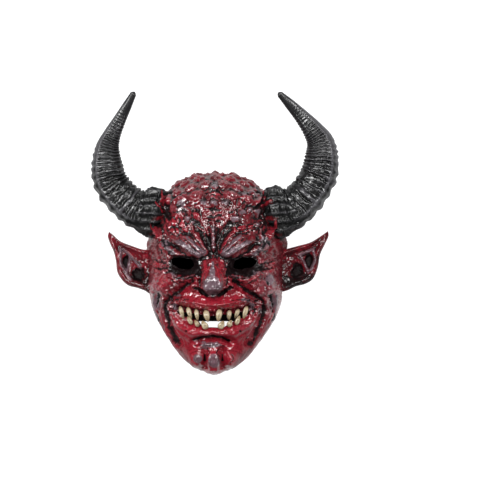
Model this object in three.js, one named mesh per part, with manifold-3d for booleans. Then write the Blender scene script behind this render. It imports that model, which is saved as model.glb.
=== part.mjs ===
// A horned devil mask of cast latex that covers the whole head, open at the neck.
// It lies on the back of the head with its face up. Units are millimetres.
// +X is to the right of somebody who looks at the face, +Y runs from the chin to the crown,
// and +Z runs out of the face. The origin is on the flat spot at the back of the head.
import * as THREE from 'three';
import { mergeVertices } from 'three/addons/utils/BufferGeometryUtils.js';
import Module from 'manifold-3d';

const wasm = await Module();
wasm.setup();

// Driving dimensions.
const wall = 3.2; // thickness of the latex
const restLevel = 0; // the flat spot at the back of the head

// The hem from the nape along the jaw to under the chin, as seen from the side: [z, y].
const hem = [[-50, -119], [40, -119], [84, -124], [108, -138], [128, -160], [146, -186]];

// Stations down the bare head, from crown to chin: [y, half width, front z, back z].
const headStations = [
  [78.5, 0, 104, 104],
  [77, 24, 131, 76],
  [70, 44, 153, 42],
  [57, 61, 171, 10],
  [38, 75, 184, -5],
  [14, 84, 191, -9],
  [-8, 89, 195, -8],
  [-28, 91, 197, -4],
  [-46, 90, 198, 1],
  [-64, 88.5, 198, 6],
  [-82, 86, 198, 11],
  [-98, 82, 198, 16],
  [-115, 75, 198, 22],
  [-132, 66, 197, 32],
  [-150, 54, 194, 52],
  [-166, 39.5, 189, 82],
  [-178, 20, 181, 124],
  [-183.5, 0, 168, 168],
];
const widestShare = 0.46; // how far forward each section is widest
const sectionPower = 0.92; // under 1 makes a section fuller than an ellipse

// The skin and its lining, in facets. Crowding narrows the facets at the face.
const outside = { columns: 50, rows: 60, crowding: 0.6 };
const inside = { columns: 24, rows: 20, crowding: 0.35, facet: 7 };

// Rounded forms of the face: centre, half sizes, turn in degrees and height. A form off the middle is
// repeated on the other side.
const mounds = [
  { form: 'brow', at: [29, -17], half: [31, 14], turn: 24, height: 8 },
  { form: 'eye socket', at: [38, -42], half: [26, 15], turn: 0, height: -12 },
  { form: 'temple lump', at: [58, -22], half: [10, 10], turn: 0, height: 5 },
  { form: 'cheek', at: [69, -68], half: [21, 22], turn: 0, height: 9 },
  { form: 'cheek bone', at: [48, -62], half: [20, 14], turn: 20, height: 4 },
  { form: 'nostril wing', at: [21, -68], half: [11, 10], turn: -20, height: 10 },
  { form: 'nose tip', at: [0, -64], half: [16, 15], turn: 0, height: 4 },
  { form: 'muzzle', at: [0, -90], half: [62, 26], turn: 0, height: 9 },
  { form: 'lower jaw', at: [0, -130], half: [50, 22], turn: 0, height: 5 },
  { form: 'chin', at: [0, -163], half: [26, 24], turn: 0, height: 8 },
  { form: 'chin ball', at: [22, -165], half: [12, 13], turn: 0, height: 6 },
  { form: 'forehead lump', at: [31, 18], half: [13, 10], turn: 25, height: 5 },
  { form: 'forehead lump', at: [49, 27], half: [12, 10], turn: 30, height: 5 },
  { form: 'temple flame', at: [73, 2], half: [8, 20], turn: -32, height: 6 },
  { form: 'temple flame', at: [57, 42], half: [8, 18], turn: -35, height: 6 },
  { form: 'middle lump', at: [0, 38], half: [11, 9], turn: 0, height: 6 },
  { form: 'middle lump', at: [0, 57], half: [11, 9], turn: 0, height: 6 },
];

// Folds and creases along a path: its points, half width and height. A crease has a height under 0.
const folds = [
  { form: 'brow feather', path: [[9, -25], [16, -14], [24, -3]], half: 7, height: 5 },
  { form: 'brow feather', path: [[14, -28], [25, -18], [35, -7]], half: 7, height: 5 },
  { form: 'brow feather', path: [[20, -30], [34, -21], [47, -11]], half: 7, height: 5 },
  { form: 'brow feather', path: [[28, -31], [42, -27], [54, -21]], half: 7, height: 4 },
  { form: 'frown crease', path: [[4, -28], [7, -10], [17, 4], [24, 14]], half: 8, height: -6 },
  { form: 'wedge over the nose', path: [[0, 13], [0, -20]], half: 7, height: 5 },
  { form: 'eye bag', path: [[20, -56], [37, -61], [54, -54]], half: 8, height: 5 },
  { form: 'nose to mouth crease', path: [[26, -61], [42, -72], [60, -86], [63, -100], [60, -116], [54, -130], [46, -144]],
    half: 9, height: -10 },
  { form: 'jaw crease', path: [[73, -82], [73, -94], [69, -108], [62, -123], [52, -139]], half: 8, height: -6 },
  { form: 'upper lip', path: [[54, -94], [44, -88], [32, -87], [12, -91], [0, -91]], half: 8, height: 5 },
  { form: 'lower lip', path: [[54, -100], [48, -109], [40, -118], [27, -125], [12, -128], [0, -127]],
    half: 8, height: 6 },
  { form: 'chin crease', path: [[22, -140], [12, -136], [0, -135]], half: 8, height: -9 },
  { form: 'chin groove', path: [[11.5, -151], [11.5, -174]], half: 8, height: -8 },
];

const nose = { top: -22, fullAt: -60, turnAt: -72, bottom: -82, reach: 23, thin: 8, wide: 15 };
const dome = { centre: [0, 5, 100], pitch: 15, height: 5.5, from: 26, full: 44 }; // pitch in degrees

// The mouth's edges, right of the middle: the opening runs from the gum line down to the lower lip.
const mouthTop = [[0, -105], [12, -102.5], [30, -101.5], [46, -100]];
const mouthBottom = [[46, -104], [37, -113.5], [26, -119.5], [12, -122.5], [0, -121.5]];
const gum = { sink: 7, height: 8 };

// Each eye hole is an almond, with its outer corner higher by the lift.
const eye = { at: [38.5, -40], halfWidth: 12.5, halfHeight: 6.8, lift: 1.5, corners: 14 };

// Horns: points on the middle line with the radius there, as on the right. They aren't quite alike.
const hornLines = {
  left: [
    [52, 19, 30], [82, 27, 33], [102, 33, 25.5], [120, 45, 23], [137, 65, 21.8], [142.5, 88, 19.8],
    [141.5, 112, 15.2], [137, 128, 11.6], [128, 147, 8.6], [118, 166, 6.2], [107, 185.5, 3.6],
  ],
  right: [
    [52, 19, 31], [83, 27, 34.5], [102, 32.5, 27.5], [120.5, 50, 25.6], [135.5, 76, 23.6], [139.5, 98, 21.8],
    [139, 118, 18.8], [131, 135, 15.2], [116, 154, 11.2], [100, 171, 7.6], [83.5, 183.5, 4],
  ],
};
const horn = { rootDepth: 124, sway: 9, columns: 10, rows: 32, flatness: 0.86, ringDepth: 0.055, keel: 0.1 };

// The ear's outline seen from the front, right of the middle, from its tip clockwise.
const earOutline = [
  [139, 0], [132, -16], [128, -34], [125, -52], [114, -66], [100, -73], [85, -74], [77, -58], [77, -38],
  [85, -24], [102, -17], [120, -10],
];
const ear = { middle: [104, -42], front: 108, lean: 0.24, thick: 3.6, rim: 6, bowl: 9, columns: 16, rows: 9 };
const earRidges = [[[98, -64], [105, -50], [108, -34], [119, -22]], [[105, -50], [98, -36], [108, -26]]];
const earRidge = { half: 5, height: 5 };

// Teeth: place of the root and the point, and half width.
const teeth = [
  { root: [9.8, -97], point: [6, -112.8], half: 4 },
  { root: [20.8, -97], point: [19, -112.6], half: 3.2 },
  { root: [32.6, -95], point: [27.4, -111], half: 2.8 },
  { root: [43, -93.5], point: [38, -111], half: 2.9 },
  { root: [7.8, -125], point: [12.4, -113], half: 3.1 },
  { root: [18.4, -124], point: [21.4, -114], half: 2.6 },
  { root: [28.6, -121], point: [33, -107.5], half: 2.4 },
];
const toothBow = 3.5; // how far a tooth bows forward
const rootSunk = 2.5; // how deep its root sits in the gum
const nostrilSlot = { at: [16, -76], half: [9.5, 3.6, 5], slope: 0.5 };

// A closed body made by moving the points of a ball. place(point, turn, share) sets each point, where turn
// runs round the ball from its front and share runs from its top, 0, to its bottom, 1.
function closedBody(columns, rows, place) {
  const ball = new THREE.SphereGeometry(1, columns, rows);
  ball.deleteAttribute('normal');
  ball.deleteAttribute('uv');
  const body = mergeVertices(ball, 1e-5);
  const points = body.getAttribute('position');
  const point = new THREE.Vector3();
  for (let i = 0; i < points.count; i++) {
    point.fromBufferAttribute(points, i);
    const turn = Math.atan2(point.x, point.z);
    const share = Math.acos(THREE.MathUtils.clamp(point.y, -1, 1)) / Math.PI;
    place(point, turn, share);
    points.setXYZ(i, point.x, point.y, point.z);
  }
  return body;
}

// Every four-sided facet between the two poles is split along its shorter diagonal, which follows a crease.
function splitAlongCreases(body, columns) {
  const points = body.getAttribute('position');
  const corners = body.index.array;
  const place = (corner) => new THREE.Vector3().fromBufferAttribute(points, corner);
  for (let i = 3 * columns; i < corners.length - 3 * columns; i += 6) {
    const [a, b, d, , c] = corners.slice(i, i + 5);
    if (place(a).distanceTo(place(c)) < place(b).distanceTo(place(d))) corners.set([a, b, c, a, c, d], i);
  }
}

function solidOf(geometry) {
  const merged = mergeVertices(geometry, 1e-4);
  return new wasm.Manifold(new wasm.Mesh({
    numProp: 3,
    vertProperties: new Float32Array(merged.getAttribute('position').array),
    triVerts: new Uint32Array(merged.index.array),
  }));
}

function geometryOf(solid) {
  const mesh = solid.getMesh();
  const geometry = new THREE.BufferGeometry();
  geometry.setAttribute('position', new THREE.BufferAttribute(mesh.vertProperties, 3));
  geometry.setIndex(new THREE.BufferAttribute(mesh.triVerts, 1));
  return geometry;
}

// A smooth curve through the head's stations, one for each measure.
const stationCurves = [1, 2, 3].map(
  (measure) => new THREE.SplineCurve(headStations.map((station) => new THREE.Vector2(station[measure], station[0]))),
);

// A point of the bare head, before any carving.
function bareHead(point, turn, share) {
  const [side, front, back] = stationCurves.map((curve) => curve.getPoint(share));
  const middle = back.x + widestShare * (front.x - back.x);
  const reach = Math.cos(turn) > 0 ? front.x - middle : middle - back.x;
  const round = (value) => Math.sign(value) * Math.abs(value) ** sectionPower;
  point.set(side.x * round(Math.sin(turn)), side.y, middle + reach * round(Math.cos(turn)));
}

// A smooth hill that is 1 at distance 0 and 0 from distance 1 on.
function hill(distance) {
  return Math.max(0, 1 - distance * distance) ** 2;
}

function moundAt(mound, x, y) {
  const angle = THREE.MathUtils.degToRad(mound.turn);
  const dx = x - mound.at[0];
  const dy = y - mound.at[1];
  const along = (dx * Math.cos(angle) + dy * Math.sin(angle)) / mound.half[0];
  const across = (dy * Math.cos(angle) - dx * Math.sin(angle)) / mound.half[1];
  return mound.height * hill(Math.hypot(along, across));
}

function distanceToPath(path, x, y) {
  let nearest = Infinity;
  for (let i = 0; i + 1 < path.length; i++) {
    const [ax, ay] = path[i];
    const bx = path[i + 1][0] - ax;
    const by = path[i + 1][1] - ay;
    const along = THREE.MathUtils.clamp(((x - ax) * bx + (y - ay) * by) / (bx * bx + by * by), 0, 1);
    nearest = Math.min(nearest, Math.hypot(x - ax - along * bx, y - ay - along * by));
  }
  return nearest;
}

function noseAt(x, y) {
  const rise = 1 - THREE.MathUtils.smoothstep(y, nose.fullAt, nose.top);
  const fall = THREE.MathUtils.smoothstep(y, nose.bottom, nose.turnAt);
  const width = nose.thin + (nose.wide - nose.thin) * rise;
  return nose.reach * rise * fall / (1 + (x / width) ** 4);
}

// The height of an edge of the mouth at a place across it, or null beyond its corner.
function edgeHeight(edge, x) {
  const points = [...edge].sort((a, b) => a[0] - b[0]);
  const next = points.findIndex((point) => point[0] > x);
  if (next < 1) return null;
  const [ax, ay] = points[next - 1];
  const [bx, by] = points[next];
  return ay + (by - ay) * (x - ax) / (bx - ax);
}

// The gums lie back between the upper lip and the opening.
function gumSink(x, y) {
  const top = edgeHeight(mouthTop, x);
  if (top === null) return 0;
  const bottom = edgeHeight(mouthBottom, x);
  const depthIn = Math.min(top + gum.height - y, y - bottom);
  return -gum.sink * THREE.MathUtils.smoothstep(depthIn, 0, 4);
}

// The carved scales of the crown: pyramids in staggered rows, by the direction from the middle of the dome.
function scaleAt(point) {
  const [cx, cy, cz] = dome.centre;
  const direction = new THREE.Vector3(point.x - cx, point.y - cy, point.z - cz).normalize();
  const across = THREE.MathUtils.radToDeg(Math.asin(direction.x)) / dome.pitch;
  const along = THREE.MathUtils.radToDeg(Math.atan2(direction.z, direction.y)) / dome.pitch;
  const row = Math.round(along);
  const shift = row % 2 === 0 ? 0 : 0.5;
  const column = Math.round(across - shift) + shift;
  const distance = Math.hypot(across - column, along - row);
  const fade = THREE.MathUtils.smoothstep(point.y, dome.from, dome.full);
  return dome.height * fade * Math.max(0, 1 - 1.7 * distance);
}

// The height of the carving over the bare head.
function carving(point) {
  if (point.z < dome.centre[2]) return scaleAt(point);
  const x = Math.abs(point.x);
  const y = point.y;
  let height = noseAt(x, y) + gumSink(x, y) + scaleAt(point);
  for (const mound of mounds) height += moundAt(mound, x, y);
  for (const fold of folds) height += fold.height * hill(distanceToPath(fold.path, x, y) / fold.half);
  return height;
}

// The lining takes the lowest carving within a facet's reach, so that the wall is nowhere thinner than it should be.
function liningCarving(point) {
  const reach = inside.facet;
  let lowest = Infinity;
  for (const dx of [-reach, 0, reach]) {
    for (const dy of [-reach, 0, reach]) {
      lowest = Math.min(lowest, carving(new THREE.Vector3(point.x + dx, point.y + dy, point.z)));
    }
  }
  return lowest;
}

// A skin of the head: the bare head, moved along its own normals by the given height.
function skin({ columns, rows, crowding }, heightAt, lowest) {
  const body = closedBody(columns, rows, (point, turn, share) => {
    bareHead(point, turn - crowding * Math.sin(turn), share);
  });
  body.computeVertexNormals();
  const points = body.getAttribute('position');
  const normals = body.getAttribute('normal');
  const point = new THREE.Vector3();
  const normal = new THREE.Vector3();
  for (let i = 0; i < points.count; i++) {
    point.fromBufferAttribute(points, i);
    normal.fromBufferAttribute(normals, i);
    point.addScaledVector(normal, heightAt(point));
    point.z = Math.max(point.z, lowest);
    points.setXYZ(i, point.x, point.y, point.z);
  }
  body.deleteAttribute('normal');
  splitAlongCreases(body, columns);
  return solidOf(body);
}

// A block that holds all that lies beyond the hem.
function beyondHem() {
  const reach = 300;
  const profile = new THREE.Shape([...hem, [hem.at(-1)[0], -reach], [hem[0][0], -reach]].map(
    ([z, y]) => new THREE.Vector2(z, y),
  ));
  const block = new THREE.ExtrudeGeometry(profile, { depth: 2 * reach, bevelEnabled: false });
  block.deleteAttribute('normal');
  block.deleteAttribute('uv');
  block.translate(0, 0, -reach);
  block.rotateY(-Math.PI / 2);
  return solidOf(block);
}

// A horn: a ball drawn out along its middle line, with a keel on its front, rings and a lobed root.
function hornBody(line) {
  const middle = new THREE.CatmullRomCurve3(line.map(([x, y], i) => {
    const share = i / (line.length - 1);
    return new THREE.Vector3(x, y, horn.rootDepth - horn.sway * Math.sin(Math.PI * share));
  }));
  const radii = new THREE.SplineCurve(line.map(([, , radius], i) => new THREE.Vector2(i, radius)));
  const ringsFrom = 0.22; // the tip is smooth
  const keelTurn = 0.6;
  return closedBody(horn.columns, horn.rows, (point, turn, share) => {
    const along = 1 - share;
    const ends = Math.sqrt(Math.min(1, 14 * share, 14 * along));
    const heading = middle.getTangent(along);
    const side = new THREE.Vector3(heading.y, -heading.x, 0).normalize();
    const ring = horn.ringDepth * Math.min(1, share / ringsFrom) * Math.cos(share * horn.rows * Math.PI);
    const keel = horn.keel * hill((turn - keelTurn) / 0.7);
    const lobes = 0.07 * THREE.MathUtils.smoothstep(share, 0.75, 0.95) * Math.cos(6 * turn);
    const radius = radii.getPoint(along).y * ends * (1 + ring + keel + lobes);
    point.copy(middle.getPoint(along));
    point.addScaledVector(side, radius * Math.sin(turn));
    point.z += horn.flatness * radius * Math.cos(turn);
  });
}

// An ear: a leaf whose front is sunk into a bowl inside a raised rim, with a forked ridge in the bowl.
function earBody() {
  const outline = new THREE.SplineCurve([...earOutline, earOutline[0]].map(([x, y]) => new THREE.Vector2(x, y)));
  const [mx, my] = ear.middle;
  return closedBody(ear.columns, ear.rows, (point, turn, share) => {
    const edge = outline.getPoint((1 - turn / (2 * Math.PI)) % 1);
    const out = Math.sin(share * Math.PI) ** 0.8;
    const x = mx + (edge.x - mx) * out;
    const y = my + (edge.y - my) * out;
    const base = ear.front - ear.lean * (x - mx);
    const bowl = ear.bowl * hill(out / 0.86);
    const nearest = Math.min(...earRidges.map((path) => distanceToPath(path, x, y)));
    const ridge = earRidge.height * hill(nearest / earRidge.half);
    const rim = ear.rim * hill((out - 0.9) / 0.3);
    const height = share < 0.5 ? rim - bowl + ridge : -ear.thick - bowl;
    point.set(x, y, base + height * (1 - out ** 12));
  });
}

function mirrored(geometry) {
  const copy = mergeVertices(geometry, 1e-4);
  copy.scale(-1, 1, 1);
  const corners = copy.index.array;
  for (let i = 0; i < corners.length; i += 3) [corners[i], corners[i + 1]] = [corners[i + 1], corners[i]];
  return copy;
}

function bothSides(geometry) {
  return [solidOf(geometry), solidOf(mirrored(geometry))];
}

// A through hole along Z with the outline of a closed curve.
function holeThrough(points, from, to) {
  const outline = new THREE.Shape(points.map(([x, y]) => new THREE.Vector2(x, y)));
  const hole = new THREE.ExtrudeGeometry(outline, { depth: to - from, bevelEnabled: false });
  hole.deleteAttribute('normal');
  hole.deleteAttribute('uv');
  hole.translate(0, 0, from);
  return hole;
}

function eyeHole() {
  const points = Array.from({ length: eye.corners }, (_, i) => {
    const turn = i / eye.corners * 2 * Math.PI;
    const x = eye.at[0] + eye.halfWidth * Math.cos(turn);
    return [x, eye.at[1] + eye.halfHeight * Math.sin(turn) + eye.lift * Math.cos(turn)];
  });
  return holeThrough(points, 150, 230);
}

function mouthHole() {
  const right = [...mouthTop, ...mouthBottom];
  const left = right.slice(1, -1).reverse().map(([x, y]) => [-x, y]);
  return holeThrough([...right, ...left], 150, 240);
}

function nostril() {
  const { at, half, slope } = nostrilSlot;
  const depth = faceDepth(...at);
  return closedBody(8, 6, (point) => {
    const along = point.x * half[0];
    point.set(at[0] + along, at[1] + point.y * half[1] + along * slope, depth + point.z * half[2]);
  });
}

// How far forward the carved face lies at a place.
function faceDepth(x, y) {
  let low = 0;
  let high = 1;
  while (high - low > 1e-4) {
    const share = (low + high) / 2;
    if (stationCurves[0].getPoint(share).y > y) low = share;
    else high = share;
  }
  const [side, front, back] = stationCurves.map((curve) => curve.getPoint(low).x);
  const middle = back + widestShare * (front - back);
  const turn = Math.asin((Math.abs(x) / side) ** (1 / sectionPower));
  const bare = middle + (front - middle) * Math.cos(turn) ** sectionPower;
  return bare + carving(new THREE.Vector3(x, y, bare));
}

function tooth({ root, point: tip, half }) {
  const depth = faceDepth(...root) - rootSunk;
  return closedBody(5, 4, (point, turn, share) => {
    const spread = half * Math.sin(Math.PI * Math.min(1, 0.12 + share * 0.88)) ** 0.6;
    const round = share === 0 || share === 1 ? 0 : spread;
    const x = root[0] + (tip[0] - root[0]) * share;
    const y = root[1] + (tip[1] - root[1]) * share;
    const bulge = toothBow * Math.sin(Math.PI * share);
    const upper = tip[1] < root[1] ? 1 : -1;
    point.set(x + upper * round * Math.sin(turn), y, depth + bulge + 0.8 * round * Math.cos(turn));
  });
}

function carvedMask() {
  const lining = skin(inside, (point) => liningCarving(point) - wall, restLevel + wall);
  let mask = skin(outside, carving, restLevel);
  mask = mask.add(solidOf(mirrored(hornBody(hornLines.left)))).add(solidOf(hornBody(hornLines.right)));
  for (const part of bothSides(earBody())) mask = mask.add(part);
  mask = mask.subtract(lining).subtract(beyondHem()).subtract(solidOf(mouthHole()));
  for (const hole of [...bothSides(eyeHole()), ...bothSides(nostril())]) mask = mask.subtract(hole);
  for (const one of teeth) {
    for (const part of bothSides(tooth(one))) mask = mask.add(part);
  }
  return geometryOf(mask);
}

const latex = new THREE.MeshStandardMaterial({ color: 0x8a1420, roughness: 0.38, metalness: 0 });
const mask = new THREE.Mesh(carvedMask(), latex);
mask.name = 'devil_mask';

const group = new THREE.Group();
group.add(mask);
export default group;
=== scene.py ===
import math

import bmesh
import bpy
from functools import reduce
import numpy as np
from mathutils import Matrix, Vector
from mathutils.kdtree import KDTree


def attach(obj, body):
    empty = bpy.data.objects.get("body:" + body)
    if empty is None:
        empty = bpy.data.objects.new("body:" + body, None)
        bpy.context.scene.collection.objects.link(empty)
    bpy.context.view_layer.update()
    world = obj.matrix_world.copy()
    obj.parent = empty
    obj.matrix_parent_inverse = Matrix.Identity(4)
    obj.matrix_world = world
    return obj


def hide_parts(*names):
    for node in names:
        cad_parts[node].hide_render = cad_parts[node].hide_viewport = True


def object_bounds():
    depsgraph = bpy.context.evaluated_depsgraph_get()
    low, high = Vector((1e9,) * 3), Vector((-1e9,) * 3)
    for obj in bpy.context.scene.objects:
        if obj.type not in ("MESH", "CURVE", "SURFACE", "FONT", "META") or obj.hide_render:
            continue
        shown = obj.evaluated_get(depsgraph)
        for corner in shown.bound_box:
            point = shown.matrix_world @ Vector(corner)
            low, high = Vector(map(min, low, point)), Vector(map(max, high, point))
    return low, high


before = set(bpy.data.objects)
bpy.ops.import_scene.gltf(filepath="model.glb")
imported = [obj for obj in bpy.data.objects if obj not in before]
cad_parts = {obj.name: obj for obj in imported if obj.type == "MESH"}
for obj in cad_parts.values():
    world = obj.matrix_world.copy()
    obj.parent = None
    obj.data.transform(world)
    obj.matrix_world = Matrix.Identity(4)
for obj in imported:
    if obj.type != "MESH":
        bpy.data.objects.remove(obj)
cadBox = [list(corner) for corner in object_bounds()]
mm = 0.001

# Camera, floor and lights come first

cameraSet = {
    "place": (0.090, -0.0225, 3.0),
    "aim": (0.046, -0.0225, 0.130),
    "widthAtAim": 0.654,  # what the picture shows across, at the aim
    "sensor": 36,
    "clip": (0.05, 50),
}
lights = [  # name, place, size, power
    ("keyLeft", (-0.80, 0.95, 2.10), 0.70, 54),
    ("keyRight", (0.95, 0.80, 2.00), 0.60, 32),
    ("nearTop", (-0.15, 0.55, 2.60), 0.34, 14),
    ("sideLeft", (-1.60, 0.25, 1.30), 0.46, 22),
    ("sideRight", (1.65, 0.10, 1.30), 0.42, 13),
    ("topStrip", (0.05, 1.60, 1.05), 0.40, 9),
    ("lowLeft", (-0.60, -1.30, 1.60), 0.34, 10),
    ("lowRight", (0.75, -1.25, 1.55), 0.30, 8),
]
lightAim = (0, -0.02, 0.12)
room = {  # dim walls and a dark ceiling
    "walls": (0.26, 0.26, 0.27, 1),
    "ceiling": (0.01, 0.01, 0.011, 1),
    "wallTop": -0.2,
    "ceilingFrom": 0.5,
}
floorSet = {"middle": (0.05, -0.02), "half": 0.5, "level": -0.0003}
paperInputs = {
    "Base Color": (0.16, 0.16, 0.162, 1),
    "Roughness": 0.9,
    "Emission Color": (0.93, 0.93, 0.935, 1),
    "Emission Strength": 1,
}


def addObject(name, data):
    thing = bpy.data.objects.new(name, data)
    bpy.context.scene.collection.objects.link(thing)
    return thing


def lookAt(thing, aim):  # a camera or lamp looks down -Z, and +Y stays up
    thing.rotation_mode = "QUATERNION"
    thing.rotation_quaternion = Vector((0, 0, -1)).rotation_difference(Vector(aim) - thing.location)


def socketOf(sockets, name, kind):
    return next(socket for socket in sockets if socket.name == name and socket.type == kind)


def setInputs(node, values):
    for name, value in values.items():
        node.inputs[name].default_value = value


def makeCamera():
    data = bpy.data.cameras.new("camera")
    camera = addObject("camera", data)
    camera.location = cameraSet["place"]
    lookAt(camera, cameraSet["aim"])
    distance = (Vector(cameraSet["aim"]) - camera.location).length
    data.sensor_width = cameraSet["sensor"]
    data.lens = cameraSet["sensor"] * distance / cameraSet["widthAtAim"]
    data.clip_start, data.clip_end = cameraSet["clip"]
    bpy.context.scene.camera = camera


def makeFloor():
    (mx, my), half, level = floorSet["middle"], floorSet["half"], floorSet["level"]
    corners = [(mx + half * i, my + half * j, level) for i, j in ((-1, -1), (1, -1), (1, 1), (-1, 1))]
    mesh = bpy.data.meshes.new("floor")
    mesh.from_pydata(corners, [], [(0, 1, 2, 3)])
    paper = bpy.data.materials.new("palePaper")
    paper.use_nodes = True
    setInputs(paper.node_tree.nodes["Principled BSDF"], paperInputs)
    mesh.materials.append(paper)
    floor = addObject("floor", mesh)


def makeRoom():
    for name, place, size, power in lights:
        data = bpy.data.lights.new(name, "AREA")
        data.size, data.energy = size, power
        lamp = addObject(name, data)
        lamp.location = place
        lookAt(lamp, lightAim)
    world = bpy.data.worlds.new("room")
    world.use_nodes = True
    tree = world.node_tree
    direction = tree.nodes.new("ShaderNodeTexCoord")
    split = tree.nodes.new("ShaderNodeSeparateXYZ")
    upwards = tree.nodes.new("ShaderNodeMapRange")
    upwards.interpolation_type = "SMOOTHSTEP"
    setInputs(upwards, {"From Min": room["wallTop"], "From Max": room["ceilingFrom"]})
    tone = tree.nodes.new("ShaderNodeMix")
    tone.data_type = "RGBA"
    socketOf(tone.inputs, "A", "RGBA").default_value = room["walls"]
    socketOf(tone.inputs, "B", "RGBA").default_value = room["ceiling"]
    for source, target in (
        (direction.outputs["Generated"], split.inputs["Vector"]),
        (split.outputs["Z"], upwards.inputs["Value"]),
        (upwards.outputs["Result"], socketOf(tone.inputs, "Factor", "VALUE")),
        (socketOf(tone.outputs, "Result", "RGBA"), tree.nodes["Background"].inputs["Color"]),
    ):
        tree.links.new(source, target)
    bpy.context.scene.world = world
    bpy.context.scene.view_settings.view_transform = "Standard"


makeCamera()
makeFloor()
makeRoom()
print("camera, floor and lights are in place")

# Short ways to add nodes, in a material or in a Geometry Nodes tree

foldWidth = 0.24  # how far the noise leaves its middle value before a fold is full
creaseShare = 0.35  # of that, what its crease takes up
foldLevel = 0.6  # the part of a fold that lies under the bare skin
dullLevel, coatIndex = 0.08, 2.0  # little shine from the paint itself, much from its coat


class Board:
    def __init__(self, tree):
        self.tree = tree

    def put(self, target, value):
        if isinstance(value, bpy.types.NodeSocket):
            self.tree.links.new(value, target)
        else:
            target.default_value = value

    def node(self, kind, inputs=None, **settings):  # inputs by name or number
        made = self.tree.nodes.new(kind)
        for key, value in settings.items():
            setattr(made, key, value)
        for key, value in (inputs or {}).items():
            self.put(made.inputs[key], value)
        return made

    def math(self, operation, a, b=0.0):
        return self.node("ShaderNodeMath", {0: a, 1: b}, operation=operation).outputs[0]

    def minus(self, a, b):
        return self.math("SUBTRACT", a, b)

    def plus(self, *values):
        return reduce(lambda total, value: self.math("ADD", total, value), values)

    def times(self, *values):
        return reduce(lambda total, value: self.math("MULTIPLY", total, value), values)

    def between(self, value, low, high):  # 0 at low, 1 at high, eased
        inputs = {"Value": value, "From Min": low, "From Max": high}
        return self.node("ShaderNodeMapRange", inputs, interpolation_type="SMOOTHSTEP").outputs["Result"]


class Growth(Board):  # a Geometry Nodes tree that is grown on a mesh and leaves plain mesh behind
    def __init__(self, name, sizes):
        super().__init__(bpy.data.node_groups.new(name, "GeometryNodeTree"))
        face = self.tree.interface
        face.new_socket("Geometry", in_out="INPUT", socket_type="NodeSocketGeometry")
        face.new_socket("Geometry", in_out="OUTPUT", socket_type="NodeSocketGeometry")
        self.keys = {}
        for label, value in sizes.items():
            socket = face.new_socket(label, in_out="INPUT", socket_type="NodeSocketFloat")
            socket.default_value = value
            self.keys[label] = socket.identifier
        self.start = self.node("NodeGroupInput")
        self.geometry = self.start.outputs["Geometry"]

    def size(self, label):
        return self.start.outputs[label]

    def read(self, name):
        made = self.node("GeometryNodeInputNamedAttribute", {"Name": name}, data_type="FLOAT")
        return next(socket for socket in made.outputs if socket.enabled and socket.name == "Attribute")

    def noise(self, inputs):
        return self.node("ShaderNodeTexNoise", {"Detail": 1, **inputs}, noise_dimensions="4D").outputs[0]

    def sized(self, size, seed, distortion=0.0):  # noise with spots of that size in mm
        return self.noise({"Scale": 1 / (size * mm), "Distortion": distortion, "W": seed})

    def fromMiddle(self, noise):
        return self.math("ABSOLUTE", self.minus(noise, 0.5))

    def creased(self, size, seed, distortion):  # rounded folds, and the thin creases between them
        away = self.fromMiddle(self.sized(size, seed, distortion))
        return self.between(away, 0, foldWidth), self.between(away, 0, foldWidth * creaseShare)

    def crossFolds(self, pitch, spread, seed):  # folds that lie across a horn, from "run" and "around"
        run = self.math("DIVIDE", self.read("run"), pitch)
        around = self.math("DIVIDE", self.read("around"), spread)
        place = self.node("ShaderNodeCombineXYZ", {"X": run, "Y": around}).outputs["Vector"]
        away = self.fromMiddle(self.noise({"Vector": place, "Scale": 1, "Distortion": 0.3, "W": seed}))
        return self.minus(self.between(away, 0, foldWidth), foldLevel)

    def step(self, kind, inputs=None, **settings):  # a node that the geometry passes through
        made = self.node(kind, {"Geometry": self.geometry, **(inputs or {})}, **settings)
        self.geometry = made.outputs["Geometry"]
        return made

    def store(self, name, value):
        made = self.step("GeometryNodeStoreNamedAttribute", {"Name": name}, data_type="FLOAT", domain="POINT")
        self.put(next(socket for socket in made.inputs if socket.name == "Value" and socket.enabled), value)

    def push(self, height):  # moves each point along its normal, height in mm
        inputs = {0: self.node("GeometryNodeInputNormal").outputs["Normal"], "Scale": self.times(height, mm)}
        offset = self.node("ShaderNodeVectorMath", inputs, operation="SCALE").outputs["Vector"]
        self.step("GeometryNodeSetPosition", {"Offset": offset})

    def close(self, material):
        self.step("GeometryNodeRealizeInstances")
        self.step("GeometryNodeSetMaterial", {"Material": material})
        self.node("NodeGroupOutput", {"Geometry": self.geometry})
        return self

    def grow(self, thing, sizes):
        modifier = thing.modifiers.new("growth", "NODES")
        modifier.node_group = self.tree
        for label, value in sizes.items():
            modifier[self.keys[label]] = float(value)
        plainMesh(thing)


def plainMesh(thing):  # the modifiers' result becomes the mesh
    depsgraph = bpy.context.evaluated_depsgraph_get()
    evaluated = thing.evaluated_get(depsgraph)
    mesh = bpy.data.meshes.new_from_object(evaluated, preserve_all_data_layers=True, depsgraph=depsgraph)
    thing.modifiers.clear()
    thing.data = mesh


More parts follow.
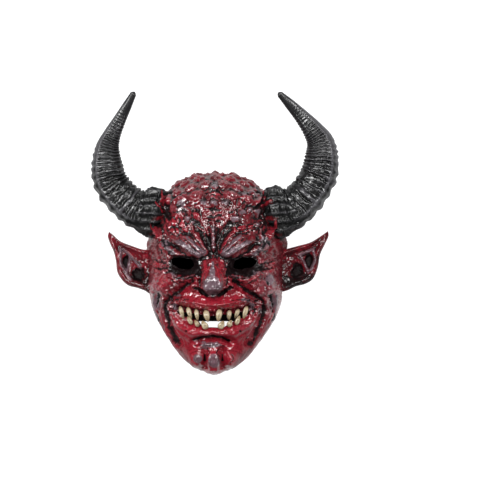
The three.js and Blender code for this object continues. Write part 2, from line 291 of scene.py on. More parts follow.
class Finish(Board):  # a material
    def __init__(self, name):
        self.material = bpy.data.materials.new(name)
        self.material.use_nodes = True
        super().__init__(self.material.node_tree)
        self.shader = self.tree.nodes["Principled BSDF"]

    def masks(self, attribute):
        read = self.node("ShaderNodeAttribute", attribute_name=attribute)
        split = self.node("ShaderNodeSeparateColor", {"Color": read.outputs["Color"]})
        return [split.outputs[name] for name in ("Red", "Green", "Blue")]

    def noise(self, size, detail=4.0, roughness=0.6):
        place = self.node("ShaderNodeTexCoord").outputs["Object"]
        inputs = {"Vector": place, "Scale": 1 / (size * mm), "Detail": detail, "Roughness": roughness}
        return self.node("ShaderNodeTexNoise", inputs).outputs[0]

    def broken(self, mask, spots, amount, low, high):  # the mask's edge breaks up with the spots
        return self.between(self.plus(mask, self.times(self.minus(spots, 0.5), amount)), low, high)

    def painted(self, colour, coats):  # one coat over the other: its colour, where it lies, its share
        for coat, where, share in coats:
            made = self.node("ShaderNodeMix", data_type="RGBA")
            self.put(socketOf(made.inputs, "Factor", "VALUE"), self.times(where, share))
            self.put(socketOf(made.inputs, "A", "RGBA"), colour)
            self.put(socketOf(made.inputs, "B", "RGBA"), coat)
            colour = socketOf(made.outputs, "Result", "RGBA")
        return colour

    def ramp(self, value, stops):
        made = self.node("ShaderNodeValToRGB", {"Fac": value})
        marks = made.color_ramp.elements
        while len(marks) < len(stops):
            marks.new(0.5)
        for mark, (place, colour) in zip(marks, stops):
            mark.position = place
            mark.color = (*colour, 1)
        return made.outputs["Color"]

    def finish(self, colour, roughness, coat, coatRoughness, grain):  # dull paint under a shiny coat
        height, strength, distance = grain
        grainInputs = {"Height": height, "Strength": strength, "Distance": distance * mm}
        bump = self.node("ShaderNodeBump", grainInputs)
        inputs = {
            "Base Color": colour,
            "Roughness": roughness,
            "Specular IOR Level": dullLevel,
            "Coat Weight": coat,
            "Coat IOR": coatIndex,
            "Coat Roughness": coatRoughness,
            "Normal": bump.outputs["Normal"],
        }
        for name, value in inputs.items():
            self.put(self.shader.inputs[name], value)
        return self.material


# Finishes

latexPaint = {
    "deepRed": (0.030, 0.0008, 0.0022),
    "red": (0.082, 0.0020, 0.0055),
    "warmRed": (0.125, 0.005, 0.011),
    "brightRed": (0.163, 0.0040, 0.0110, 1),
    # pale pink: dry brushing, and a painted sheen on the crown, the sides and the jaw's rim
    "brushed": (0.215, 0.050, 0.064, 1),
    "gums": (0.060, 0.0018, 0.005, 1),
    "grime": (0.032, 0.0009, 0.0023, 1),
    "darkGrey": (0.036, 0.025, 0.031),
    "paleGrey": (0.112, 0.081, 0.097),
    # black: the wash in the creases, and painted shade in the hollows, nostrils and the inside
    "black": (0.0012, 0.001, 0.0012, 1),
}


def latexFinish():  # deep red, grey dry brushing on what stands proud, a black wash in the creases and black painted shade in the hollows, nostrils and inside, pale pink that is also a painted sheen on the crown and sides, gloss
    look, paint = Finish("redLatex"), latexPaint
    spots, patches = look.noise(2.7, 4, 0.6), look.noise(13)
    black, grey, red = look.masks("paint")
    relief, dull, gums = look.masks("form")
    ground = look.ramp(patches, [(0.32, paint["deepRed"]), (0.5, paint["red"]), (0.7, paint["warmRed"])])
    greyTone = look.ramp(patches, [(0.35, paint["darkGrey"]), (0.66, paint["paleGrey"])])
    colour = look.painted(ground, [
        (paint["brightRed"], look.broken(red, spots, 0.8, 0.15, 0.9), 0.9),
        (paint["brushed"], look.broken(relief, spots, 0.4, 0.1, 1.1), 0.64),
        (paint["gums"], gums, 0.8),
        (paint["grime"], look.between(look.noise(2.3, 2, 0.5), 0.53, 0.67), 0.7),
        (greyTone, look.broken(grey, spots, 0.6, 0.1, 0.95), 0.85),
        (paint["black"], look.broken(black, spots, 0.8, 0.25, 0.8), 0.97),
    ])
    coat = look.math("MAXIMUM", look.minus(0.55, look.times(dull, 0.6)), 0.0)
    roughness = look.plus(look.times(spots, 0.3), 0.4)
    return look.finish(colour, roughness, coat, 0.08, (look.noise(4.0, 2, 0.5), 0.4, 1.5))


hornPaint = {
    "dark": (0.002, 0.002, 0.0023),
    "charcoal": (0.007, 0.0066, 0.0076),
    "black": (0.001, 0.001, 0.001, 1),
    "ridge": (0.040, 0.038, 0.043, 1),
    "strip": (0.068, 0.066, 0.072, 1),
    "red": (0.11, 0.003, 0.007, 1),
}


def hornFinish():  # charcoal, paler on the ribs and along the outer strip, a painted highlight along the keel, red streaks over the root
    look, paint = Finish("charcoalHorn"), hornPaint
    spots = look.noise(2.6, 5, 0.65)
    proud, strip, red = look.masks("paint")
    root = look.masks("form")[0]
    ground = look.ramp(look.noise(16, 3, 0.5), [(0.3, paint["dark"]), (0.7, paint["charcoal"])])
    colour = look.painted(ground, [
        (paint["black"], look.broken(proud, spots, -0.8, 0.45, 0.25), 1),
        (paint["ridge"], look.broken(proud, spots, 1.2, 0.55, 1.0), 0.5),
        (paint["strip"], look.broken(strip, spots, 0.8, 0.3, 1.0), 0.7),
        (paint["black"], look.broken(root, spots, 0.9, 0.4, 1.1), 0.6),
        (paint["red"], look.broken(red, spots, 0.7, 0.3, 0.7), 1),
    ])
    coat, roughness = look.minus(0.27, look.times(root, 0.15)), look.plus(look.times(spots, 0.3), 0.4)
    return look.finish(colour, roughness, coat, 0.22, (look.noise(3.6, 1, 0.5), 0.2, 1.2))


toothPaint = {
    "root": (0.17, 0.11, 0.062),
    "ivory": (0.29, 0.24, 0.165),
    "olive": (0.21, 0.165, 0.10),
    "stainAndShade": (0.052, 0.030, 0.011, 1),
}


def toothFinish():  # ivory, olive lower down, brown painted shade along the rounded sides and a brown stain down the middle
    look, paint = Finish("ivoryTooth"), toothPaint
    spots = look.noise(2, 4)
    along, edge, seam = look.masks("paint")
    stops = [(0.0, paint["root"]), (0.25, paint["ivory"]), (0.7, paint["olive"]), (1.0, paint["root"])]
    colour = look.painted(look.ramp(along, stops), [
        # brown along the sides: painted shade where the tooth turns away
        (paint["stainAndShade"], look.broken(edge, spots, 0.9, 0.5, 1.1), 0.8),
        # a brown stain down the middle
        (paint["stainAndShade"], look.broken(seam, spots, 1.2, 0.45, 1.2), 0.6),
    ])
    return look.finish(colour, 0.22, 0.24, 0.08, (look.noise(1.6, 3, 0.5), 0.3, 0.4))


latex, charcoal, ivory = latexFinish(), hornFinish(), toothFinish()
print("finishes are mixed")

# Curves, hills and soft noise that the carving is made from, all in mm


def smooth(value, low, high):
    share = np.clip((value - low) / (high - low), 0, 1)
    return share * share * (3 - 2 * share)


def hill(distance):
    return np.maximum(0, 1 - distance * distance) ** 2


def most(*masks):  # the largest of them at each point
    return reduce(np.maximum, masks)


def oval(x, y, middle, halves, turn=0):  # 0 in the middle, 1 on the oval's edge
    angle = math.radians(turn)
    dx, dy = x - middle[0], y - middle[1]
    along = (dx * math.cos(angle) + dy * math.sin(angle)) / halves[0]
    across = (dy * math.cos(angle) - dx * math.sin(angle)) / halves[1]
    return np.hypot(along, across)


def spot(x, y, middle, halves, turn=0):  # 1 in the middle, fading to 0 at the oval's edge
    return hill(oval(x, y, middle, halves, turn))


def splineAt(points, share):  # Catmull-Rom through the points, ends repeated
    points = np.asarray(points, float)
    last = len(points) - 1
    place = np.clip(np.asarray(share, float), 0, 1) * last
    one = np.minimum(np.floor(place).astype(int), last)
    part = (place - one)[..., None]
    before, after, beyond = np.maximum(one - 1, 0), np.minimum(one + 1, last), np.minimum(one + 2, last)
    p0, p1, p2, p3 = points[before], points[one], points[after], points[beyond]
    v0, v1 = (p2 - p0) / 2, (p3 - p1) / 2
    cube = 2 * p1 - 2 * p2 + v0 + v1
    square = -3 * p1 + 3 * p2 - 2 * v0 - v1
    return ((cube * part + square) * part + v0) * part + p1


def nearestOn(path, x, y):  # distance to the path, and how far along it that is
    nearest = np.full(np.shape(x), np.inf)
    along = np.zeros(np.shape(x))
    for index, ((ax, ay), (bx, by)) in enumerate(zip(path, path[1:])):
        dx, dy = bx - ax, by - ay
        part = np.clip(((x - ax) * dx + (y - ay) * dy) / (dx * dx + dy * dy), 0, 1)
        away = np.hypot(x - ax - part * dx, y - ay - part * dy)
        along = np.where(away < nearest, (index + part) / (len(path) - 1), along)
        nearest = np.minimum(nearest, away)
    return nearest, along


def latticeValue(ix, iy, iz, seed):  # a fixed value between 0 and 1 for each corner and seed
    mixed = (ix * 73856093) ^ (iy * 19349663) ^ (iz * 83492791) ^ (seed * 40503021)
    mixed = (mixed & 0x7FFFFFFF) * 1103515245 & 0x7FFFFFFF
    mixed = (mixed ^ (mixed >> 15)) * 69069 & 0x7FFFFFFF
    return ((mixed >> 7) & 0xFFFF) / 65535


def softNoise(points, cell, seed):
    scaled = points / cell
    base = np.floor(scaled).astype(np.int64)
    part = scaled - base
    part = part * part * (3 - 2 * part)
    total = 0
    for corner in np.ndindex(2, 2, 2):
        near = np.where(corner, part, 1 - part)
        total = total + near[:, 0] * near[:, 1] * near[:, 2] * latticeValue(*(base + corner).T, seed)
    return total


spin = np.array([(0.36, 0.48, -0.8), (-0.8, 0.6, 0.0), (0.48, 0.64, 0.6)])  # turns the noise off the axes


def clouds(points, size, seed):
    first = softNoise(points @ spin, size, seed)
    second = softNoise(points @ spin.T, size * 0.47, seed + 1)
    return smooth(0.66 * first + 0.34 * second, 0.15, 0.85)


def blurredGrid(grid, reach):
    steps = np.arange(-3 * reach, 3 * reach + 1)
    kernel = np.exp(-0.5 * (steps / reach) ** 2)
    kernel /= kernel.sum()
    across = sum(weight * np.roll(grid, step, axis=1) for step, weight in zip(steps, kernel))
    padded = np.pad(across, ((3 * reach, 3 * reach), (0, 0)), mode="edge")
    return sum(weight * padded[i : i + len(grid)] for i, weight in enumerate(kernel))


# Meshes


def ballGrid(columns, rows):  # turn and share of every point but the two poles, row by row
    turns = np.arange(columns) / columns * 2 * math.pi
    shares = np.arange(1, rows) / rows
    return np.meshgrid(turns, shares)


def ballFaces(columns, rows, flipped=False):
    faces = []
    last = 1 + columns * (rows - 1)
    for i in range(columns):
        j = (i + 1) % columns
        faces.append((0, 1 + i, 1 + j))
        for row in range(rows - 2):
            a, b = 1 + row * columns, 1 + (row + 1) * columns
            faces.append((a + i, b + i, b + j, a + j))
        a = 1 + (rows - 2) * columns
        faces.append((last, a + j, a + i))
    if flipped:
        faces = [face[::-1] for face in faces]
    return faces


def withPoles(grid):  # the poles take their neighbour's value
    return np.concatenate([[grid.flat[0]], grid.ravel(), [grid.flat[-1]]])


def meshObject(name, points, faces, smoothShaded=True):
    mesh = bpy.data.meshes.new(name)
    mesh.from_pydata([tuple(p) for p in np.asarray(points) * mm], [], faces)
    mesh.polygons.foreach_set("use_smooth", [smoothShaded] * len(mesh.polygons))
    mesh.update()
    return addObject(name, mesh)


def ballObject(name, size, first, points, last, mirror):  # a closed mesh on a ball's grid, with its poles
    points = np.vstack([first, points.reshape(-1, 3), last])
    points[:, 0] *= mirror
    return meshObject(name, points, ballFaces(size["columns"], size["rows"], flipped=mirror < 0)), points


def storeValue(thing, name, values):
    layer = thing.data.attributes.new(name, "FLOAT", "POINT")
    layer.data.foreach_set("value", np.asarray(values, np.float32))


def readValue(thing, name):
    values = np.zeros(len(thing.data.vertices), np.float32)
    thing.data.attributes[name].data.foreach_get("value", values)
    return values.astype(float)


def pointsOf(thing):
    flat = np.zeros(3 * len(thing.data.vertices), np.float32)
    thing.data.vertices.foreach_get("co", flat)
    return flat.reshape(-1, 3).astype(float) / mm


def storeMasks(thing, name, values):  # three masks at each point, kept as one colour attribute
    values = np.clip(np.column_stack([*values, np.ones(len(values[0]))]), 0, 1)
    layer = thing.data.color_attributes.new(name, "FLOAT_COLOR", "POINT")
    layer.data.foreach_set("color", values.astype(np.float32).ravel())


boxGap = 0.0002


def keepInBox(thing):  # nothing stands proud of the frame's box
    points = pointsOf(thing) * mm
    points = np.clip(points, np.array(cadBox[0]) + boxGap, np.array(cadBox[1]) - boxGap)
    points[:, 2] = np.maximum(points[:, 2], 0)
    thing.data.vertices.foreach_set("co", points.astype(np.float32).ravel())
    thing.data.update()


def dropValues(thing, names):
    for name in names:
        if name in thing.data.attributes:
            thing.data.attributes.remove(thing.data.attributes[name])


# The head: stations down the bare head, then mounds and folds as on the solid, all in mm

head = {
    "columns": 306,
    "rows": 272,
    "crowding": 0.6,
    "widestShare": 0.46,
    "sectionPower": 0.92,
    "wall": 3.2,
    "cutDepths": (120, 260),  # eye holes and mouth are cut from here to here
    "skinReach": 1.6,  # what is farther than this from the skin is inside
    "stations": [  # y, half width, front z, back z
        (78.5, 0, 104, 104), (77, 24, 131, 76), (70, 44, 153, 42), (57, 61, 171, 10), (38, 75, 184, -5),
        (14, 84, 191, -9), (-8, 89, 195, -8), (-28, 91, 197, -4), (-46, 90, 198, 1), (-64, 88.5, 198, 6),
        (-82, 86, 198, 11), (-98, 82, 198, 16), (-115, 75, 198, 22), (-132, 66, 197, 32), (-150, 54, 194, 52),
        (-166, 39.5, 189, 82), (-178, 20, 181, 124), (-183.5, 0, 168, 168),
    ],
    "lining": {"columns": 96, "rows": 72, "crowding": 0.35, "reach": 7, "gap": 1.6},
    "wider": [  # added on the right, added on the left, level, half height, from and to which side
        (3.2, -1.6, -106, 52, 45, 80),
        (5.5, -1.2, -12, 22, 72, 88),
    ],
}
beyond = 300  # outside everything
hem = [(-50, -119), (40, -119), (84, -124), (108, -138), (128, -160), (146, -186)]  # z, y

mounds = [  # at, half sizes, turn, height; off the middle they stand on both sides
    ((29, -17), (31, 14), 24, 8),  # brow
    ((38, -42), (26, 15), 0, -12),  # eye socket
    ((58, -22), (10, 10), 0, 5),  # temple lump
    ((69, -68), (21, 22), 0, 9),  # cheek
    ((48, -62), (20, 14), 20, 4),  # cheek bone
    ((21, -68), (11, 10), -20, 10),  # nostril wing
    ((0, -64), (16, 15), 0, 4),  # nose tip
    ((0, -90), (62, 26), 0, 9),  # muzzle
    ((0, -130), (50, 22), 0, 5),  # lower jaw
    ((0, -163), (26, 24), 0, 8),  # chin
    ((22, -165), (12, 13), 0, 6),  # chin ball
    ((31, 18), (13, 10), 25, 5),  # forehead lumps
    ((49, 27), (12, 10), 30, 5),
    ((73, 2), (8, 20), -32, 6),  # temple flames
    ((57, 42), (8, 18), -35, 6),
    ((0, 38), (11, 9), 0, 6),  # middle lumps
    ((0, 57), (11, 9), 0, 6),
]
feathers = [  # on the brow: path, half width, height, as in every fold
    ([(9, -25), (16, -14), (24, -3)], 7, 5),
    ([(14, -28), (25, -18), (35, -7)], 7, 5),
    ([(20, -30), (34, -21), (47, -11)], 7, 5),
    ([(28, -31), (42, -27), (54, -21)], 7, 4),
]
cheekCrease = [(26, -61), (42, -72), (60, -86), (63, -100), (60, -116), (54, -130), (46, -144)]
folds = [
    *feathers,
    ([(4, -28), (7, -10), (17, 4), (24, 14)], 8, -6),  # frown crease
    ([(0, 13), (0, -20)], 7, 5),  # wedge over the nose
    ([(20, -56), (37, -61), (54, -54)], 8, 5),  # eye bag
    (cheekCrease, 9, -10),  # nose to mouth
    ([(73, -82), (73, -94), (69, -108), (62, -123), (52, -139)], 8, -6),  # jaw crease
    ([(54, -94), (44, -88), (32, -87), (12, -91), (0, -91)], 8, 5),  # upper lip
    ([(54, -100), (48, -109), (40, -118), (27, -125), (12, -128), (0, -127)], 8, 6),  # lower lip
    ([(22, -140), (12, -136), (0, -135)], 8, -9),  # chin crease
    ([(11.5, -151), (11.5, -174)], 8, -8),  # chin groove
]
nose = {"top": -22, "fullAt": -60, "turnAt": -72, "bottom": -82, "reach": 23, "thin": 8, "wide": 15}
dome = {
    "centre": (0, 5, 100), "pitch": 15, "height": 5.5, "from": 26, "full": 44,
    "layer": 0.7, "layerWaves": 22, "shrink": 3,
    "spikes": (-49, -27, -1, 25, 48), "spikeDepth": 108, "spikeHalves": (8, 14), "spikeHeight": 5,
}
mouthTop = [(0, -107.6), (12, -105.2), (30, -103.2), (46, -101)]
mouthBottom = [(46, -104), (37, -109.5), (28, -113), (20, -117), (12, -121.5), (0, -121.5)]
mouthBottomLeft = [(46, -104), (37, -108), (28, -110.5), (20, -113), (13, -120.5), (0, -121.5)]
muzzleSides = [  # -y, half width: between these the muzzle and jaw are bright red
    (61, 24), (72, 41), (84, 57), (100, 61), (116, 58), (130, 52), (144, 47), (156, 41), (170, 32), (182, 12),
]
gum = {"sink": 7, "height": 8}
eye = {"at": (39.5, -39.5), "halfWidth": 14.5, "halfHeight": 7.4, "lift": 2, "rim": 1.8}

teeth = [  # root, point, half width
    ((-42.8, -94.2), (-38, -111.6), 3.1), ((-33, -95.4), (-27.7, -110.8), 3.2),
    ((-21.9, -97.9), (-19.7, -112.8), 3.0), ((-9.7, -99), (-6.2, -114.2), 4.1),
    ((8.8, -97.9), (6.4, -113.8), 4.1), ((20.8, -99), (20, -112.4), 3.2),
    ((32.3, -97.9), (27.6, -110.4), 3.0), ((43.1, -94.2), (38.4, -111), 3.3),
    ((-27, -118), (-33, -107.2), 3.1), ((-18, -120.6), (-23.4, -112), 3.2),
    ((-7.6, -123.4), (-14, -112.8), 4.3), ((8, -123.4), (13.6, -112.8), 4.3),
    ((19, -120.8), (23.6, -112), 3.6), ((29, -118.6), (33.8, -106.4), 3.3),
]

# The detail is carved and painted in one go: "both" is mirrored, "left" counts x to the left,
# a hole is painted black as the shade in a deep slot, and has no shine

lumps = {  # by side and paint: centre, half sizes, turn, height
    ("right", "grey"): [
        ((0.5, 60), (6.5, 7), 0, 3), ((0.5, 38), (7.5, 6.5), 0, 3.2), ((15.2, 39), (5, 5), 0, 2.6),
        ((27.5, 17.6), (6.5, 6), 0, 3.6), ((37, 26), (5, 4.5), 30, 2.4), ((47, 30), (6, 5), 30, 2.8),
        ((56, 26), (5, 7), 0, 2.8), ((57, 11), (4.5, 5), 0, 2), ((58, -21), (5.5, 5.5), 0, 2.6),
        ((52, -49), (5, 4), 30, 1), ((0, -68), (18.5, 20), 0, -1.6), ((72, -61), (8, 11), 0, 1.2),
        ((42, -87), (9, 5), -20, 0), ((-3, -143.5), (21, 6), 0, 1.6), ((1.2, -164), (11, 14), 0, 0),
        ((26, -160), (5, 5), 0, -0.6), ((68, -12), (9, 10), 0, 0),
    ],
    ("left", "grey"): [
        ((14, 38), (4.5, 6), 0, 2.6), ((33, 18), (7, 6), 0, 3), ((26, 14), (4, 3.5), 0, 2.2),
        ((42, 38), (8, 6), 0, 1.5), ((58, -21), (6, 5), 30, 2), ((52, -51), (6, 5), -20, 1.2),
        ((20.4, -161.5), (9, 8.5), 0, 2), ((62, -14), (7, 8), 0, 0),
    ],
    ("left", "red"): [
        ((22.8, 22), (6, 4.5), 20, 2.8), ((42, 11), (6, 5), 0, 2.4), ((50, 3), (6, 6), 0, 2.4),
        ((38, 3), (5, 5), 20, 2.2), ((54, 14), (5, 6), 0, 2.4), ((64, -62), (15, 13), 0, 0),
        ((48, 10), (21, 19), 0, 0), ((13, -84), (8, 4), -12, 1.6), ((64, -61), (11, 10), 0, 1.2),
        ((29, -159), (6, 8), 0, 0.8), ((61, 42), (6, 10), 12, 2),
    ],
    ("right", "red"): [
        ((34, 39), (6, 5), 0, 2.2), ((36, 6), (6, 4), 20, 2.2), ((46, 9), (5, 4), 30, 2.4),
        ((37, 4), (18, 9), 15, 0), ((48, -62), (17, 9), 8, 0), ((14, -84), (7, 4), 12, 1.2),
        ((50, -64), (9, 6), 20, 1), ((0, -151), (8, 5), 0, 1.4), ((25, -160), (9.5, 10), 0, 2.2),
    ],
    ("both", "none"): [
        ((0.5, 9), (4, 2.6), 0, 1.8), ((0.5, -1), (3.6, 2.6), 0, 1.6), ((0.5, -11), (3, 2.6), 0, 1.3),
        ((11.5, -62), (8, 19), 0, 1.9), ((4, -66), (2.4, 15), 0, 1), ((6.5, -163), (5, 13), 0, 3.2),
    ],
    ("both", "grey"): [
        ((0.5, 4), (4, 2.6), 0, 1.8), ((0.5, -6), (3.3, 2.6), 0, 1.5), ((49, -94), (5.5, 9), -10, 0.8),
        ((73, -92), (6, 15), -5, 0), ((63, -127), (5.5, 17), -28, 0),
    ],
    ("both", "pink"): [
        ((68, -18), (5, 6), 0, 1.8),
    ],
    ("both", "black"): [
        ((38, -43), (24.5, 14), 4, 0), ((21, -49), (8, 9), 0, 0), ((34, -126), (2.2, 1.8), 40, -1.2),
    ],
    ("both", "red"): [
        ((10, -42), (5, 12), -10, 0.8), ((70, -106), (5, 26), -8, 0), ((30, -141), (20, 22), 0, 0),
        ((0, -127), (40, 7), 0, 0), ((76, -44), (7, 12), 0, 0.8),
    ],
    ("right", "none"): [
        ((0, -78), (12, 8), 0, -1.5),
    ],
    ("right", "black"): [
        ((70, -65), (2.4, 2.6), 0, -1.6),
    ],
    ("left", "none"): [
        ((19, -162.5), (4, 3.6), 0, -1.2),
    ],
}
